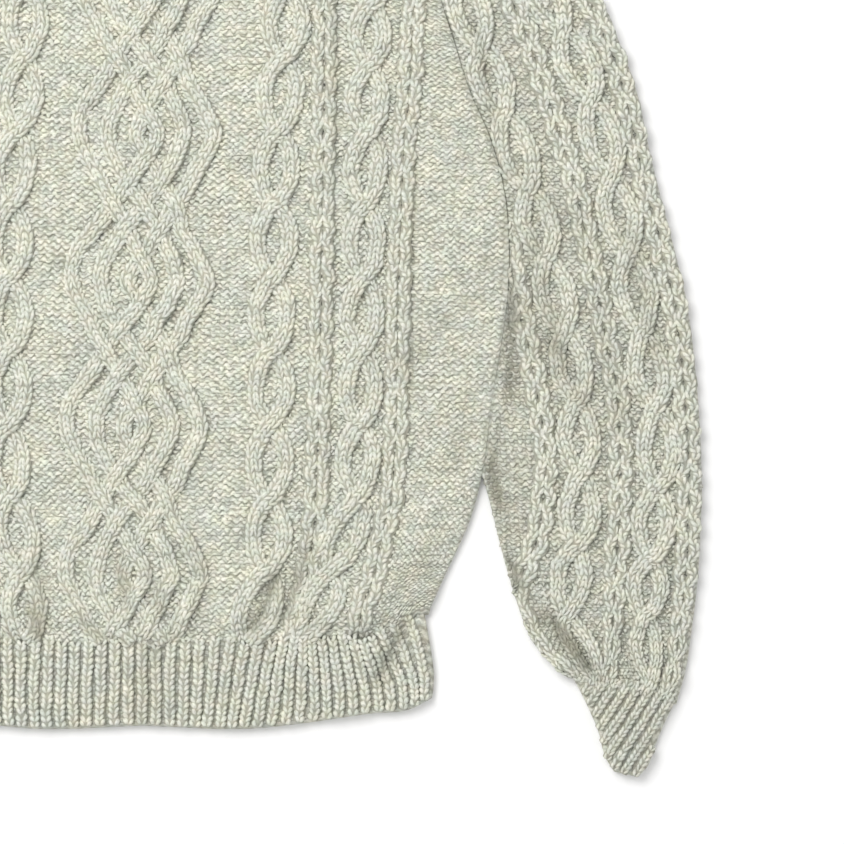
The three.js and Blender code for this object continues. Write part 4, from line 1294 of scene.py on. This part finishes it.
# The neckband's surface at a turn round the neck and a share from the seam to the free edge:
# straight between two half ellipses, rounded at both.
def bandSurface(drop, low):
    def point(turn, share):
        angle = math.pi * turn
        seamX = (neck["halfWidth"] - 0.3) * np.cos(angle)
        seamY = sideNeckHeight - (drop - 0.3) * np.sin(angle)
        freeX = band["freeHalfWidth"] * np.cos(angle)
        fall = (band["freeHeight"] + drop - band["width"]) * np.sin(angle)
        freeY = sideNeckHeight + band["freeHeight"] - fall
        z = low + band["height"] * rounded("bandEdge", np.minimum(share, 1 - share))
        return np.stack(
            [seamX + (freeX - seamX) * share, seamY + (freeY - seamY) * share, z + 0 * seamX], -1
        )

    return point


# The band's ridges, evenly spaced round the neck.
def bandStitches(surface, part):
    parts = []
    share = np.linspace(0.02, 0.98, 40)
    width = part["ridgeWidth"]
    size = {**band["ridge"], "wale": width, "radius": width * band["ridgeRadius"]}
    for number in range(part["ridges"]):
        turn = (number + 0.5) / part["ridges"] + 0 * share
        parts += knitStrand(surface, turn, share, 0 * share, size, part["seed"] + number)
    return parts


# The sheet under the band's ridges, a little below their surface.
def bandSheet(surface):
    share, turn = spread([0, 0.1, 0.3, 0.5, 0.7, 0.9, 1.0], np.linspace(0, 1, 60))
    grid = surface(turn, share)
    grid[..., 2] -= band["sheetDrop"]
    return grid, np.stack([turn * 26, share * 3], -1)


bandFront = bandSurface(neck["frontDrop"], cloth["frontFloor"])
bandBack = bandSurface(neck["backDrop"], 0.0)
bandCloth = sheetPiece("neckband_front_sheet", "rib_knit", *bandSheet(bandFront), outside=-1)
bandBackCloth = sheetPiece("neckband_back_sheet", "rib_knit", *bandSheet(bandBack), outside=-1)
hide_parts("neckband")
bandPieces = [
    stitchPiece(f"neckband_{name}_ridges", bandStitches(surface, band[name]), "rib")
    for name, surface in (("front", bandFront), ("back", bandBack))
]

print("stage: floor, light and camera")

# The photograph's frame: 844 pixels at 0.72 mm, with its middle at these places in the garment.
view = {
    "pixels": 844, "pixelSize": 0.72, "middleX": 201.6, "middleY": -68.0, "distance": 3.2,
    "sensor": 36.0,
}
studio = {
    "floorSize": 6.0, "floorColour": (0.95, 0.95, 0.95, 1), "floorRoughness": 0.9, "sky": 0.72,
    "light": {"size": 2.0, "energy": 78, "color": (1.0, 0.995, 0.99)},
    "lightPlace": (-1.1, 1.4, 2.9), "lightAim": (0.1, -0.05, 0.0),
}


# A white square under the garment.
def makeFloor():
    size = studio["floorSize"]
    corners = [(-size, -size, 0), (size, -size, 0), (size, size, 0), (-size, size, 0)]
    mesh = bpy.data.meshes.new("floor")
    mesh.from_pydata(corners, [], [(0, 1, 2, 3)])
    material = bpy.data.materials.new("floor_white")
    material.use_nodes = True
    shader = material.node_tree.nodes["Principled BSDF"]
    shader.inputs["Base Color"].default_value = studio["floorColour"]
    shader.inputs["Roughness"].default_value = studio["floorRoughness"]
    mesh.materials.append(material)
    addObject("floor", mesh)


# A square light whose turn points it at its aim.
def makeLight():
    light = bpy.data.lights.new("overhead", "AREA")
    for key, value in studio["light"].items():
        setattr(light, key, value)
    lamp = addObject("overhead", light)
    lamp.location = studio["lightPlace"]
    aim = np.array(studio["lightAim"]) - np.array(studio["lightPlace"])
    pitch = math.acos(-aim[2] / np.linalg.norm(aim))
    lamp.rotation_euler = (pitch, 0, math.atan2(aim[1], aim[0]) - math.pi / 2)


# A camera straight above the photograph's middle, whose lens takes in the frame's width.
def makeCamera():
    camera = bpy.data.cameras.new("camera")
    width = view["pixels"] * view["pixelSize"] * millimetre
    camera.sensor_width = view["sensor"]
    camera.lens = view["sensor"] * view["distance"] / width
    holder = addObject("camera", camera)
    height = view["distance"] + 10 * millimetre
    middleY = view["middleY"] * millimetre + frameShift
    holder.location = (view["middleX"] * millimetre, middleY, height)
    bpy.context.scene.camera = holder


makeFloor()
makeLight()
makeCamera()
world = bpy.data.worlds.new("studio")
world.use_nodes = True
world.node_tree.nodes["Background"].inputs["Color"].default_value = (1, 1, 1, 1)
world.node_tree.nodes["Background"].inputs["Strength"].default_value = studio["sky"]
bpy.context.scene.world = world
bpy.context.scene.view_settings.view_transform = "Standard"
